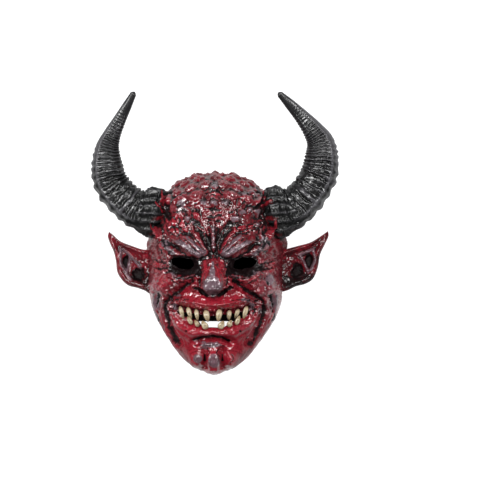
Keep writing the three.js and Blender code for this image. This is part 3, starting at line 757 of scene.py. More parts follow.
strokes = {  # by side and paint: half width at both ends, height, path
    # pink marks are pale red lines, most of them painted highlights along ridges, rims and lip edges
    ("right", "pink"): [
        ((2.2, 2.2), 2.4, [(-9, 21.5), (0, 24.3), (10, 21.5)]),
        ((2.1, 2.1), 2.4, [(-9.5, 17), (0, 19.9), (11, 17)]), ((2, 2), 2, [(-8, 13), (0, 15.5), (10, 13)]),
        ((1.7, 1.7), 1.6, [(-5, 44), (0.5, 46.5), (6, 44)]), ((1.5, 1.2), 2, [(34, -1), (46, 3), (58, 8)]),
        ((1.8, 2.2), 2.4, [(66, 55), (58, 38)]), ((1.2, 1), 1, [(12, -85.6), (20, -83), (28, -80)]),
        ((1.2, 1.2), 1.4, [(5, -138.5), (13, -140), (19, -144)]),
        ((1.6, 1.4), 2.4, [(18.6, -153.5), (21.6, -161), (17.6, -170)]),
        ((1.2, 1), 1.5, [(16.8, -150.3), (24, -150), (31, -152.2), (37, -156)]),
        ((1.6, 1.4), 1.2, [(-17, -173.5), (-6, -177), (8, -177), (17, -173.5)]),
    ],
    ("right", "black"): [
        ((1.2, 1.2), -1.4, [(-9, 19.4), (0, 22.2), (10, 19.4)]),
        ((1.2, 1.2), -1.4, [(-8, 15), (0, 17.7), (10, 15)]),
        ((0.8, 0.7), -1.4, [(54, -24), (58, -19), (62, -22), (59, -25)]),
        ((1.4, 1.2), -2.2, [(31, -1), (44, 0), (56, 5)]), ((1.5, 1.5), -2.4, [(62, 20), (60, 4), (58, -8)]),
        ((1.6, 1), -2.2, [(20, 28), (32, 31), (42, 38)]), ((2, 2.4), -3, [(70, 56), (62, 40), (54, 30)]),
        ((2, 2), -3, [(70, 30), (66, 14), (64, -2)]),
        ((2.4, 3.2), -3.6, [(-25, -137.5), (-14, -133.5), (0, -132.4)]),
        ((3.2, 2.4), -3.6, [(0, -132.4), (11, -134), (19.5, -139)]),
        ((0.9, 0.9), -1.4, [(-25, -145.5), (-16, -143.5), (-7, -145.5), (1, -143.5)]),
        ((0.9, 0.9), -1.4, [(2, -144), (8, -143), (15, -147)]),
        ((0.9, 0.9), -1.6, [(22.6, -155), (25.6, -161.5), (22, -168)]),
    ],
    ("right", "red"): [
        ((1.7, 1.7), 1.6, [(-6, 48.5), (0.5, 51.5), (7, 48.5)]),
        ((1.7, 1.2), 1.6, [(30, 50), (42, 45.5), (50, 47), (57, 41)]),
        ((1.6, 3), 2.4, [(8.5, -26), (15, -13), (25, -2), (34, 3)]),
        ((3, 1.8), 2.8, [(28, 4), (38, 4.5), (50, 12)]),
        ((2.4, 4.6), 3.6, [(81.5, 17), (76.5, 3), (71.5, -9)]),
        ((3, 2.2), 3, [(74, 41), (67, 38), (58.5, 33)]),
    ],
    ("left", "grey"): [
        ((1.5, 1.5), 1.8, [(35, 29), (41, 33), (47, 29)]), ((1.5, 1.5), 1.6, [(36, 25), (41, 28), (46, 25)]),
    ],
    ("left", "pink"): [
        ((1.6, 1.2), 1.5, [(34, 47), (44, 50), (55, 46)]),
        ((1.6, 1.2), 1.5, [(36, 43.5), (45, 46), (56, 41.5)]),
        ((1.2, 1.8), 2, [(8, -24), (14, -12), (22, -1), (28, 4)]),
        ((1.6, 1.2), 2, [(64, 6), (59, -4), (52, -9)]), ((1.6, 1.2), 2, [(46, 12), (40, 6), (34, 8)]),
        ((1.5, 1.1), 1.3, [(27, -79.5), (18, -82.6), (9, -85.4)]),
        ((1.2, 1.2), 1.6, [(31.5, -154.5), (21.4, -151.4), (13.4, -153)]),
        ((1, 1), 1.2, [(27, -157), (28.5, -163), (24, -168.6)]),
    ],
    ("right", "grey"): [
        ((1.7, 1.2), 1.6, [(30, 55), (42, 50), (50, 52), (57, 46)]),
        ((2.6, 2), 2.6, [(64, 4), (62, -8), (54, -12)]),
        ((1.6, 1.2), 1.6, [(-24, -141), (-13, -139.5), (-3, -141.5), (6, -139.5)]),
        ((1.3, 1.3), 1.3, [(-21, -149), (-12, -147.5), (-6, -149.5)]),
    ],
    ("both", "grey"): [
        ((1.1, 1.5), 1.6, [(1.6, -22), (2, -6), (3, 8)]),
        ((5.2, 3.2), 2.8, [(12, -26.5), (23, -15.5), (34, -4)]),
        ((5.2, 3.4), 3, [(18, -29.5), (32, -22), (47, -12)]),
        ((5, 4), 2.4, [(51, -28), (59, -22), (65, -13)]), ((7, 5), 0, [(15, -28), (31, -20), (44, -11)]),
        ((2, 2), 1.8, [(20, -54.5), (32, -57), (45, -56.5), (57, -49.5)]),
        ((2, 6.5), 0.4, [(0, -38), (0, -52)]),
        ((1.1, 1.1), 1.2, [(42, -79.5), (51.5, -84.5), (57.4, -93), (57, -104)]),
        ((2.4, 2.4), 1.5, [(69, -85), (68.6, -103)]),
        ((2.2, 2.2), 1.4, [(78.5, -80), (78, -97), (72.5, -115)]),
    ],
    ("both", "black"): [
        ((1, 1.3), -2.2, [(3.5, -25), (4.6, -8), (7, 6)]),
        ((1, 1.2), -2.2, [(6.5, -24), (11, -11), (18, 0), (25, 6)]),
        ((1, 1.2), -2.4, [(10, -24), (18, -12.5), (29, 0)]),
        ((1, 1.2), -2.8, [(18, -25), (28, -17.5), (39, -7)]),
        ((1.3, 1.8), -3, [(32, -31), (43, -25.5), (52, -15)]), ((0.7, 0.6), -1, [(14, -23), (24, -12)]),
        ((0.7, 0.6), -1, [(22, -27), (34, -19)]), ((0.7, 0.6), -1, [(30, -25), (42, -16)]),
        ((1.8, 1.4), -2, [(10, 30), (0, 28.5)]), ((1.6, 1.4), -2, [(10, 50), (4, 53)]),
        ((1.6, 1.6), -2, [(68, 4), (66, -8), (62, -20)]),
        ((1.1, 1), -1.4, [(63, -40), (72, -39), (80, -36)]),
        ((1.1, 1), -1.4, [(62, -46), (72, -47), (80, -46)]),
        ((1, 1), -1.6, [(22, -57.5), (36, -60), (52, -57)]),
        ((1, 1), -1.4, [(30, -65), (44, -66.5), (56, -62)]),
        ((1.3, 1.5), -3, [(16.5, -50), (18.4, -59), (17.6, -67)]),
        ((1.7, 2.6), -3, [(26, -62.5), (39, -73), (50.5, -81), (59.5, -89.5), (61, -100)]),
        ((3.4, 2), -3.4, [(60.5, -96), (58.5, -111), (53, -126), (47, -142)]),
        ((0.8, 0.8), -1.3, [(40, -82), (49, -86.5), (54.5, -94), (54, -103)]),
        ((1.4, 1.2), -1.8, [(67, -112), (62, -126)]), ((0.7, 0.7), -1, [(54, -88.5), (40, -85), (24, -86)]),
        ((1.4, 1.4), -1.6, [(50.5, -95), (53, -101), (50, -107)]),
        ((1.8, 2), -3, [(73, -81), (73.8, -92), (71.8, -103)]),
        ((1.3, 1.2), -1.8, [(75, -106), (69, -122), (60, -138)]),
        ((1.2, 1.2), -1.6, [(56, -134), (47, -149)]), ((1.1, 1), -1.6, [(8, -148.5), (4, -154), (8, -158)]),
        ((2, 3.4), -0.6, [(12, -157.5), (12, -165)]),
    ],
    ("both", "pink"): [
        ((1.2, 2), 2.2, [(5, -24), (8, -10), (14, 2), (20, 8)]),
        ((1, 1.1), 1.9, [(13, -28.5), (22.5, -18.5), (32, -8)]),
        ((1, 1.1), 1.9, [(18, -32), (31, -24.5), (45, -15)]),
        ((1.8, 1.4), 1.6, [(62, -37), (71, -35), (80, -31)]),
        ((1.8, 1.4), 1.6, [(60, -49), (70, -51), (79, -51)]),
        ((1.2, 1.1), 1.6, [(26.5, -68.4), (20, -67.6), (13.5, -71)]),
    ],
    ("both", "none"): [
        ((1, 1.1), 1.7, [(14, -25), (22, -14), (31, -3)]),
        ((1, 1.1), 1.7, [(20, -28), (31, -20), (43, -11)]),
        ((1, 1.1), 1.9, [(50, -31), (59, -25.5), (67, -15)]),
        ((2.4, 2.6), 2.4, [(33, -59), (48, -69), (66, -82), (69.5, -98)]), ((8.5, 8.5), 4.5, cheekCrease),
        ((2.2, 2), 0.8, [(59, -122), (52, -137), (43, -151)]),
        ((9, 9), 3, [(50, -119), (40, -128), (28, -134)]),
    ],
    ("left", "red"): [
        ((2.6, 3.2), 2.8, [(66, 22), (60, 12), (56, 2)]), ((2.2, 3.6), 3, [(83.5, 11), (77, 0), (71.5, -9)]),
        ((3.2, 3.6), 2.6, [(72, -8), (66, -23)]), ((1.8, 2.2), 2.4, [(76, 40), (67, 28)]),
        ((2.2, 2.2), 2.6, [(70, 54), (68, 42), (60, 30)]),
    ],
    ("left", "black"): [
        ((1.5, 1.2), -2.2, [(61, 24), (53, 10), (47, -3)]), ((1.3, 1.2), -2, [(46, 20), (44, 8), (36, -1)]),
        ((1.6, 1), -2.2, [(18, 28), (28, 29), (36, 34)]),
        ((1.8, 2.2), -3, [(74, 52), (72, 40), (66, 26), (60, 18)]),
    ],
    ("both", "red"): [
        ((1.8, 1.4), 1.6, [(62, -43), (72, -43), (80, -41)]),
        ((2.6, 2), 2.2, [(16, -58), (30, -62), (48, -62), (61, -54)]),
        ((1.6, 1.6), 1.3, [(-7, -31), (0, -29), (7, -31)]),
        ((1, 1.2), -0.8, [(3, -40), (8, -52), (10, -62)]),
        ((0.9, 1), -0.6, [(9, -44), (13, -54), (14.5, -62)]),
        ((3, 2.6), 2.6, [(27.5, -74), (27, -66), (20.5, -60)]),
        ((2.2, 2.4), 1.4, [(66.5, -104), (63.5, -120), (56.5, -134)]),
        ((1.8, 1.6), 0.6, [(31, -70), (44, -79), (56, -89), (58, -98)]),
        ((2, 2), 1.6, [(56, -92), (44, -88.5), (31, -88), (14, -91.5), (0, -93)]),
        ((1.8, 1.8), 1.2, [(50, -85.5), (36, -81.5), (20, -84)]),
        ((1.8, 1.8), 1.5, [(53, -104), (46, -111), (37, -116.5), (24, -122), (11, -125.4), (0, -125.4)]),
        ((2, 1.6), 1.8, [(71, -108), (66.5, -122), (59, -136)]),
    ],
    # nostril slots: painted black as the shade inside them
    ("both", "hole"): [
        ((3.2, 3.4), -5, [(24.4, -71), (18.5, -73.2), (13.5, -77)]),
        ((3.4, 2), -5, [(15.5, -75.4), (12, -78.2), (7.4, -80.8)]),
    ],
    ("right", "none"): [
        ((2, 2), -1.2, [(0, -82), (0, -87)]), ((7, 7), 1.6, [(-24, -131), (0, -129), (24, -131)]),
        ((4, 5), -2.8, [(12.4, -153), (13.4, -160), (12, -167)]),
    ],
    ("left", "none"): [
        ((4.2, 5), -2.8, [(11.4, -155), (11, -160), (12, -166)]),
    ],
}


def moundSum(x, y):
    return sum(height * spot(x, y, middle, halves, turn) for middle, halves, turn, height in mounds)


def awayFrom(path, x, y):
    return nearestOn(path, x, y)[0]


def foldSum(x, y):
    return sum(height * hill(awayFrom(path, x, y) / half) for path, half, height in folds)


def noseAt(x, y):
    rise = 1 - smooth(y, nose["fullAt"], nose["top"])
    fall = smooth(y, nose["bottom"], nose["turnAt"])
    width = nose["thin"] + (nose["wide"] - nose["thin"]) * rise
    return nose["reach"] * rise * fall / (1 + (x / width) ** 4)


def gumShare(x, y):
    top = np.interp(x, *zip(*mouthTop))
    bottom = np.interp(x, *zip(*mouthBottom[::-1]))
    depthIn = np.minimum(top + gum["height"] - y, y - bottom)
    return np.where(x < mouthTop[-1][0], smooth(depthIn, 0, 4), 0)


def scaleAt(x, y, z):  # height and distance from the scale's middle
    cx, cy, cz = dome["centre"]
    away = np.sqrt((x - cx) ** 2 + (y - cy) ** 2 + (z - cz) ** 2)
    across = np.degrees(np.arcsin((x - cx) / away)) / dome["pitch"]
    along = np.degrees(np.arctan2(z - cz, y - cy)) / dome["pitch"]
    row = np.round(along)
    shift = np.where(row % 2 == 0, 0, 0.5)
    column = np.round(across - shift) + shift
    distance = np.hypot(across - column, along - row)
    fade = smooth(y, dome["from"], dome["full"])
    return dome["height"] * fade * np.maximum(0, 1 - 1.7 * distance), distance, fade


def baseCarving(x, y, z):
    side = np.abs(x)
    scales = scaleAt(x, y, z)[0]
    face = noseAt(side, y) - gum["sink"] * gumShare(side, y) + moundSum(side, y) + foldSum(side, y)
    return np.where(z < dome["centre"][2], scales, scales + face)


def muzzleShare(side, y):  # 1 between the two creases that run from nose to jaw
    edge = np.interp(-y, *zip(*muzzleSides))
    return smooth(edge - side, 0, 5) * smooth(-y, 62, 76)


waver = [(2.4, 8), (1.2, 3.5)]  # reach and size
seeds = {"driftX": 71, "driftY": 81, "patches": 41, "small": 43, "ear": 57, "earHole": 91}
carving = {
    "paintNames": ("grey", "black", "hole", "red", "pink", "none", "outline", "lump"),
    "lumpPaint": (0.03, 0.55),  # from which height of its shape a paint starts, and where it is full
    "strokePaint": (0.12, 0.65),
    "cutPower": 1.2,  # a groove is sharp at its bottom
    "ringed": (1.5, -30),  # lumps higher than this, and above this level, have a dark ring
    "ringWidth": 0.26,
    "ringDepth": -0.5,
}


def drift(x, y, seed):  # lines waver like hand-made ones, less on the lips
    flat = np.column_stack([x, y, np.zeros(len(x))])
    away = sum(reach * (softNoise(flat, size, seed + i) - 0.5) for i, (reach, size) in enumerate(waver))
    return away * (1 - 0.75 * muzzleShare(np.abs(x), y)) * (1 + 0.9 * smooth(y, -6, 16))


def detailAt(x, y):  # height of the lumps and strokes, and where their paints lie
    x, y = x + drift(x, y, seeds["driftX"]), y + drift(x, y, seeds["driftY"])
    height = np.zeros(len(x))
    paints = {name: np.zeros(len(x)) for name in carving["paintNames"]}

    def lay(where, shape, rise, paint, ends):
        height[where] += rise * shape
        paints[paint][where] = most(paints[paint][where], smooth(shape, *ends))

    sides = {"both": np.abs(x), "left": -x, "right": x}
    for (side, paint), marks in lumps.items():
        across = sides[side]
        for middle, halves, turn, rise in marks:
            reach = 1.3 * max(halves)
            where = np.flatnonzero((np.abs(across - middle[0]) < reach) & (np.abs(y - middle[1]) < reach))
            away = oval(across[where], y[where], middle, halves, turn)
            lay(where, hill(away), rise, paint, carving["lumpPaint"])
            if rise > carving["ringed"][0] and middle[1] > carving["ringed"][1]:
                ring = hill((away - 1.0) / carving["ringWidth"])
                lay(where, hill(away / 1.1), 0, "lump", (0, 0.4))
                lay(where, ring, carving["ringDepth"], "outline", (0.1, 0.9))
    for (side, paint), marks in strokes.items():
        across = sides[side]
        for (half, endHalf), rise, path in marks:
            reach = max(half, endHalf)
            (lowX, lowY), (highX, highY) = np.min(path, axis=0) - reach, np.max(path, axis=0) + reach
            where = np.flatnonzero((across > lowX) & (across < highX) & (y > lowY) & (y < highY))
            away, along = nearestOn(path, across[where], y[where])
            away = away / (half + (endHalf - half) * along)
            shape = hill(away) if rise > 0 else np.maximum(0, 1 - away) ** carving["cutPower"]
            lay(where, shape, rise, paint, carving["strokePaint"])
    return height, paints


def bareHead(turn, share):
    stations = np.array(head["stations"], float)
    shape = splineAt(stations[:, [1, 0, 2, 3]], share)
    side, y, front, back = np.moveaxis(shape, -1, 0)
    middle = back + head["widestShare"] * (front - back)
    reach = np.where(np.cos(turn) > 0, front - middle, middle - back)
    power = head["sectionPower"]
    sine, cosine = np.sin(turn), np.cos(turn)
    x = side * np.sign(sine) * np.abs(sine) ** power
    z = middle + reach * np.sign(cosine) * np.abs(cosine) ** power
    return np.stack([x, y, z], -1)


def gridNormals(points):
    across = np.roll(points, -1, axis=1) - np.roll(points, 1, axis=1)
    down = np.empty_like(points)
    down[1:-1] = points[2:] - points[:-2]
    down[0], down[-1] = points[1] - points[0], points[-1] - points[-2]
    normal = np.cross(down, across)
    return normal / np.linalg.norm(normal, axis=-1, keepdims=True)


def headGrid(size):  # the bare head's points, their normals and their x, y and z
    turn, share = ballGrid(size["columns"], size["rows"])
    bare = bareHead(turn - size["crowding"] * np.sin(turn), share)
    return bare, gridNormals(bare), np.moveaxis(bare, -1, 0)


def eyeRim(x, y):  # 1 on the rim of an eye hole, growing outwards
    dx = (np.abs(x) - eye["at"][0]) / eye["halfWidth"]
    dy = (y - eye["at"][1] - eye["lift"] * dx) / eye["halfHeight"]
    return np.hypot(dx, dy)


def gumRings(x, y):  # gums swell round each root
    total = np.zeros(len(x))
    for (rx, ry), (_, ty), half in teeth:
        swell = ry - 3 if ry > ty else ry + 1
        total += 1.5 * hill((oval(x, y, (rx, swell), (half + 2.2, half + 3.4)) - 1) / 0.5)
    return total


def roughAt(side, y, z):  # how wrinkled the skin is: least on nose, feathers, lips and chin
    calm = most(
        spot(side, y, (0, -64), (24, 26)),
        1.3 * spot(side, y, (0, -124), (64, 30)) * (side < 60),
        1.3 * spot(side, y, (0, -150), (56, 42)),
        0.85 * smooth(-y, 112, 124) * smooth(-side, -62, -50),
        1.2 * spot(side, y, (0, -90), (44, 14)),
        *(0.7 * hill(awayFrom(path, side, y) / half) for path, half, _ in feathers),
        0.8 * smooth(side, 58, 70) * smooth(-y, 76, 98),
    )
    calm = most(
        np.clip(calm, 0, 0.92) * smooth(z, 92, 112),
        (0.65 + 0.25 * smooth(-y, 40, 90)) * smooth(-z, -112, -92),
        0.8 * smooth(-y, 72, 98) * smooth(-z, -168, -134),
    )
    return np.clip(1 - calm + 0.8 * spot(side, y, (0, -142), (24, 9)), 0, 1)


skinSizes = {
    "foldSize": 11, "foldDepth": 2.8, "lineSize": 5.5, "lineDepth": 1.1,
    "dotSize": 3.4, "dotDepth": 0.5, "seed": 3,
}


def skinGrowth():  # wrinkles over the latex skin, deepest where "rough" is 1
    tree = Growth("wrinkledSkin", skinSizes)
    seed, rough = tree.size("seed"), tree.read("rough")
    foldShape, foldLine = tree.creased(skinSizes["foldSize"], seed, 1.0)
    lineShape, fineLine = tree.creased(skinSizes["lineSize"], tree.plus(seed, 7.3), 0.8)
    dots = tree.sized(skinSizes["dotSize"], tree.plus(seed, 3.1))
    height = tree.plus(
        tree.times(tree.minus(foldShape, foldLevel), tree.size("foldDepth")),
        tree.times(tree.minus(lineShape, foldLevel), tree.size("lineDepth")),
        tree.times(tree.minus(dots, 0.5), tree.size("dotDepth")),
    )
    tree.push(tree.times(height, rough))
    shade = tree.plus(tree.times(foldLine, 0.65), tree.times(fineLine, 0.35))
    tree.store("wrinkle", tree.plus(tree.times(shade, rough), tree.minus(1.0, rough)))
    return tree.close(latex)


wrinkledSkin = skinGrowth()


def prism(name, outline, low, high, axis="z"):  # a closed block on that outline, from low to high
    count = len(outline)
    area = sum(a[0] * b[1] - b[0] * a[1] for a, b in zip(outline, outline[1:] + outline[:1]))
    outline = outline if (area > 0) == (axis == "z") else outline[::-1]
    if axis == "z":
        points = [(x, y, low) for x, y in outline] + [(x, y, high) for x, y in outline]
    else:
        points = [(low, y, z) for z, y in outline] + [(high, y, z) for z, y in outline]
    faces = [tuple(range(count))[::-1], tuple(range(count, 2 * count))]
    faces += [(i, (i + 1) % count, count + (i + 1) % count, count + i) for i in range(count)]
    return meshObject(name, points, faces, smoothShaded=False)


def eyeOutline(side, count=56):
    turn = np.arange(count) / count * 2 * math.pi
    across, up = np.cos(turn), np.sign(np.sin(turn)) * np.abs(np.sin(turn)) ** 0.8
    uneven = 1 + 0.05 * np.cos(3 * turn + side) + 0.03 * np.sin(7 * turn + 2 * side)
    x = eye["at"][0] + eye["halfWidth"] * across * uneven
    y = eye["at"][1] + eye["halfHeight"] * up * uneven + eye["lift"] * across
    return [(side * px, py) for px, py in zip(x.tolist(), y.tolist())]


dips = {"depth": 0.9, "pitch": 11.2, "upTo": 44}


def mouthOutline():  # the upper edge dips a little between the teeth
    places = np.linspace(0, 1, 24)
    upper = [
        (x, y + dips["depth"] * math.cos(x / dips["pitch"] * 2 * math.pi) * (x < dips["upTo"]))
        for x, y in splineAt(mouthTop, places)
    ]
    lower = [(x, y) for x, y in splineAt(mouthBottom, places)]
    left = [(-x, y) for x, y in splineAt(mouthBottomLeft, places)]
    return upper + lower + left[:-1][::-1] + [(-x, y) for x, y in upper[:0:-1]]


def cutAway(thing, cutters):
    for cutter in cutters:
        cut = thing.modifiers.new("cut", "BOOLEAN")
        cut.operation = "DIFFERENCE"
        cut.solver = "MANIFOLD"
        cut.object = cutter
    plainMesh(thing)
    for cutter in cutters:
        bpy.data.objects.remove(cutter)


sameSpot = 1e-7


def dropPockets(thing):  # flat pockets of two faces back to back, left along the cut edges
    work = bmesh.new()
    work.from_mesh(thing.data)
    bmesh.ops.remove_doubles(work, verts=work.verts, dist=sameSpot)
    bmesh.ops.triangulate(work, faces=work.faces)
    known, pockets = {}, []
    for face in work.faces:
        corners = frozenset(face.verts)
        if corners in known:
            pockets += [face, known.pop(corners)]
        else:
            known[corners] = face
    bmesh.ops.delete(work, geom=pockets, context="FACES_ONLY")
    bmesh.ops.delete(work, geom=[edge for edge in work.edges if not edge.link_faces], context="EDGES")
    bmesh.ops.delete(work, geom=[vert for vert in work.verts if not vert.link_edges], context="VERTS")
    work.to_mesh(thing.data)
    work.free()


def headSkin():
    bare, normal, (x, y, z) = headGrid(head)
    _, distance, fade = scaleAt(x, y, z)
    layers = dome["layer"] * fade * np.cos(distance * dome["layerWaves"]) * smooth(distance, 0.05, 0.2)
    away = [oval(x, z, (place, dome["spikeDepth"]), dome["spikeHalves"]) for place in dome["spikes"]]
    spikes = np.max([np.maximum(0, 1 - reach) for reach in away], axis=0)
    layers = layers + dome["spikeHeight"] * smooth(y, 40, 55) * spikes
    height = baseCarving(x, y, z) + layers - dome["shrink"] * smooth(y, 40, 62)
    cx, cy, cz = (bare + normal * height[..., None]).reshape(-1, 3).T
    front, side = smooth(cz, 96, 114), np.abs(cx)
    detail, paints = detailAt(cx, cy)
    detail += eye["rim"] * hill((eyeRim(cx, cy) - 1.4) / 0.35)
    inMouth = (side < 52) & (cy > -128) & (cy < -88)
    detail += np.where(inMouth, gumRings(cx, cy), 0)
    height = height + (detail * front).reshape(height.shape)
    points = bare + normal * height[..., None]
    for right, left, middle, half, low, high in head["wider"]:
        outwards = hill((y - middle) / half) * smooth(np.abs(x), low, high)
        points[..., 0] += np.where(x > 0, right, left) * outwards
    points[..., 2] = np.maximum(points[..., 2], 0)
    masks = {name: paint * front for name, paint in paints.items()}
    masks["relief"] = (height - blurredGrid(height, 2)) / 1.2
    masks["hollow"] = (height - blurredGrid(height, 7)) / 4
    masks["scaleEdge"] = fade * smooth(distance, 0.38, 0.6)
    masks["scaleTop"] = fade * (1 - smooth(distance, 0.05, 0.35))
    masks["rough"] = roughAt(side, cy, cz) * (1 - 0.6 * fade.ravel()) * (1 - 0.7 * masks["lump"])
    top, bottom = bareHead(np.zeros(2), np.array([0.0, 1.0]))
    masks = {name: withPoles(mask) for name, mask in masks.items()}
    return np.vstack([top, points.reshape(-1, 3), bottom]), masks


def headLining():
    bare, normal, (x, y, z) = headGrid(head["lining"])
    reach, wall = head["lining"]["reach"], head["wall"]
    shifts = [(dx, dy) for dx in (-reach, 0, reach) for dy in (-reach, 0, reach)]
    lowest = np.min([baseCarving(x + dx, y + dy, z) for dx, dy in shifts], axis=0)
    points = bare + normal * (lowest - wall - head["lining"]["gap"])[..., None]
    points[..., 2] = np.maximum(points[..., 2], wall)
    top, bottom = bareHead(np.zeros(2), np.array([0.0, 1.0]))
    inset = np.array([0, wall + 2, 0])
    return np.vstack([top - inset, points.reshape(-1, 3), bottom + inset])


def makeHead():
    outer, masks = headSkin()
    inner, lining = headLining(), head["lining"]
    shift = len(outer)
    faces = ballFaces(head["columns"], head["rows"])
    for face in ballFaces(lining["columns"], lining["rows"], flipped=True):
        faces.append(tuple(i + shift for i in face))
    thing = meshObject("head_skin", np.vstack([outer, inner]), faces)
    storeValue(thing, "rough", np.concatenate([masks["rough"], np.zeros(len(inner))]))
    wrinkledSkin.grow(thing, skinSizes)
    masks["wrinkle"] = readValue(thing, "wrinkle")[:shift]
    outer = pointsOf(thing)[:shift]
    below = [*hem, (hem[-1][0], -beyond), (hem[0][0], -beyond)]
    cutAway(thing, [
        prism("beyondHem", below, -beyond, beyond, axis="x"),
        prism("leftEye", eyeOutline(-1), *head["cutDepths"]),
        prism("rightEye", eyeOutline(1), *head["cutDepths"]),
        prism("mouth", mouthOutline(), *head["cutDepths"]),
    ])
    dropPockets(thing)
    dropValues(thing, ("rough", "wrinkle"))
    tree = KDTree(len(outer))
    for i, point in enumerate(outer):
        tree.insert(point, i)
    tree.balance()
    points = pointsOf(thing)
    _, nearest, away = zip(*(tree.find(point) for point in points))
    nearest, inside = np.array(nearest), (np.array(away) > head["skinReach"]).astype(float)
    paintHead(thing, points, {name: mask[nearest] for name, mask in masks.items()}, inside)
    keepInBox(thing)
    return thing


mirrors = {"left": -1, "right": 1}


def nearHorns(points):  # 1 where a horn comes out of the head
    nearest = np.full(len(points), np.inf)
    for which, mirror in mirrors.items():
        line = [(x * mirror, y, horn["rootDepth"], radius) for x, y, radius in hornLines[which]]
        for place in splineAt(line, np.linspace(0, 0.3, 12)):
            nearest = np.minimum(nearest, np.linalg.norm(points - place[:3], axis=1) - place[3])
    return 1 - smooth(nearest, -1, 7)


def paintHead(thing, points, masks, inside):
    x, y, z = points.T
    side = np.abs(x)
    patches, small = clouds(points, 18, seeds["patches"]), clouds(points, 8, seeds["small"])
    relief, hollow, wrinkle, rough = (masks[name] for name in ("relief", "hollow", "wrinkle", "rough"))
    seen, face = smooth(z, 105, 135), smooth(z, 110, 130)
    socket = smooth(oval(side, y, (37.5, -43), (23, 13.5)) + 0.35 * (small - 0.5), 1.12, 0.8)
    onNose = smooth(oval(side, y, (0, -62), (17, 22)), 1.15, 0.85)
    muzzle = muzzleShare(side, y) * face
    toCrease = awayFrom(cheekCrease, side, y)
    creased = hill(toCrease / 14) * face
    crown = smooth(y, 20, 50) * smooth(z, 95, 120)
    jawRim = smooth(-y, 55, 80) * smooth(z, 80, 105) * smooth(z, 178, 150)
    underHorn = spot(x, y, (92, -12), (18, 24))
    chinSide = smooth(side, 20, 30) * smooth(-y, 112, 124) * smooth(z, 120, 145)
    wornLip = smooth(x, 18, 34) * smooth(-y, 108, 120)  # the red wears off at the right of the lower lip
    calm = 1 - 0.8 * most(muzzle, smooth(creased, 0, 0.5))
    black = most(
        masks["black"] * (0.8 + 0.5 * small),  # the strokes
        1.5 * socket * smooth(z, 100, 115) * (1 - 0.5 * masks["grey"]),
        0.95 * calm * smooth(-relief - 0.2 * hollow, 0.3, 1.0),  # grooves
        0.9 * muzzle * smooth(-relief, 0.9, 2),  # on the muzzle only the deepest
        calm * rough * smooth(0.7 - wrinkle, 0, 0.5) * (0.45 + 0.45 * patches),  # wrinkles
        0.95 * masks["outline"] * (0.6 + 0.6 * small),  # rings round the lumps
        calm * 0.6 * smooth(-hollow, 0.25, 1.3),  # painted shade in the wide hollows
        masks["scaleEdge"] * 0.75 * seen,  # between the scales
        nearHorns(points) * (0.3 + 0.8 * small),
        0.5 * smooth(underHorn, 0.05, 0.5) * (0.3 + 0.9 * small),
        1.05 * small * hill(toCrease / 7.5) * face,  # from nose to mouth
        1.6 * masks["hole"],  # nostrils, painted black as shade in the deep slots
        # the inside, painted black as the shade inside the head
        inside,
    )
    grey = most(
        masks["grey"],
        0.15 * seen * calm * rough * smooth(patches + 0.2 * (wrinkle - 0.5), 0.66, 0.95),
        0.15 * masks["scaleTop"] * smooth(small, 0.4, 0.7),
    )
    grey = grey * (1 - 0.7 * masks["red"]) * (1 - 0.5 * masks["pink"])
    red = most(
        masks["red"],
        # the pale red of the painted highlights
        0.5 * masks["pink"],
        jawRim * (0.35 + 0.5 * patches),
        0.7 * creased,
        muzzle * (1 - onNose) * (1 - 0.5 * wornLip),
    )
    red = red * (1 - 0.6 * smooth(side, 18, 46) * smooth(y, -112, -98) * smooth(-y, 74, 84))
    red = red * (1 - 0.35 * spot(x, y, (0, -86), (22, 9)))
    raised = smooth(relief + 0.5 * (wrinkle - 0.6) * rough, -0.1, 1.0)
    # pale pink: dry brushing on what stands proud, and a painted sheen where the head turns away
    brushed = sum([
        calm * raised * (0.2 + 0.5 * small) * (0.25 + 0.75 * seen),
        # on the crown, partly dry brushing and partly a painted sheen
        0.25 * crown * (0.4 + 0.6 * patches),
        0.35 * muzzle * wornLip,
        0.6 * spot(side, y, (64, -62), (34, 40)) * seen * (0.3 + 0.9 * small),  # cheeks
        0.42 * spot(x, y, (0, -152), (50, 30)) * seen * (0.3 + 0.9 * patches),  # chin
        # on the sides and the jaw's rim, a painted sheen where the head turns away
        0.35 * smooth(side, 66, 84) * smooth(z, 90, 120) * (0.3 + 0.9 * patches) + 0.4 * jawRim,
    ])
    dull = most(
        masks["hole"],
        inside,
        0.2 * crown,
        0.4 * socket * seen,
        0.45 * smooth(-z, -100, -60),
        0.85 * chinSide * (0.6 + 0.5 * small),
        0.7 * spot(x, y, (0, -164), (13, 18)) * seen,  # middle of the chin
        0.3 * smooth(-z, -172, -136) * smooth(y, -75, -50) * (1 - crown),
        0.45 * spot(x, y, (0, -89), (46, 12)) + 0.3 * onNose,  # upper lip and nose
        0.9 * smooth(masks["black"], 0, 0.6),
        0.6 * smooth(black, 0.45, 0.9),
        0.9 * smooth(underHorn, 0.05, 0.4),
    )
    form = np.clip(brushed * (1 - 0.75 * masks["red"]) + 0.25 * masks["pink"], 0, 1)
    gums = np.where((side < 47) & (y > -125) & (z > 150), gumShare(side, y), 0) * (1 - inside)
    storeMasks(thing, "paint", [black, grey, red])
    storeMasks(thing, "form", [form, dull, gums])


# Horns, as on the right; the left one is mirrored

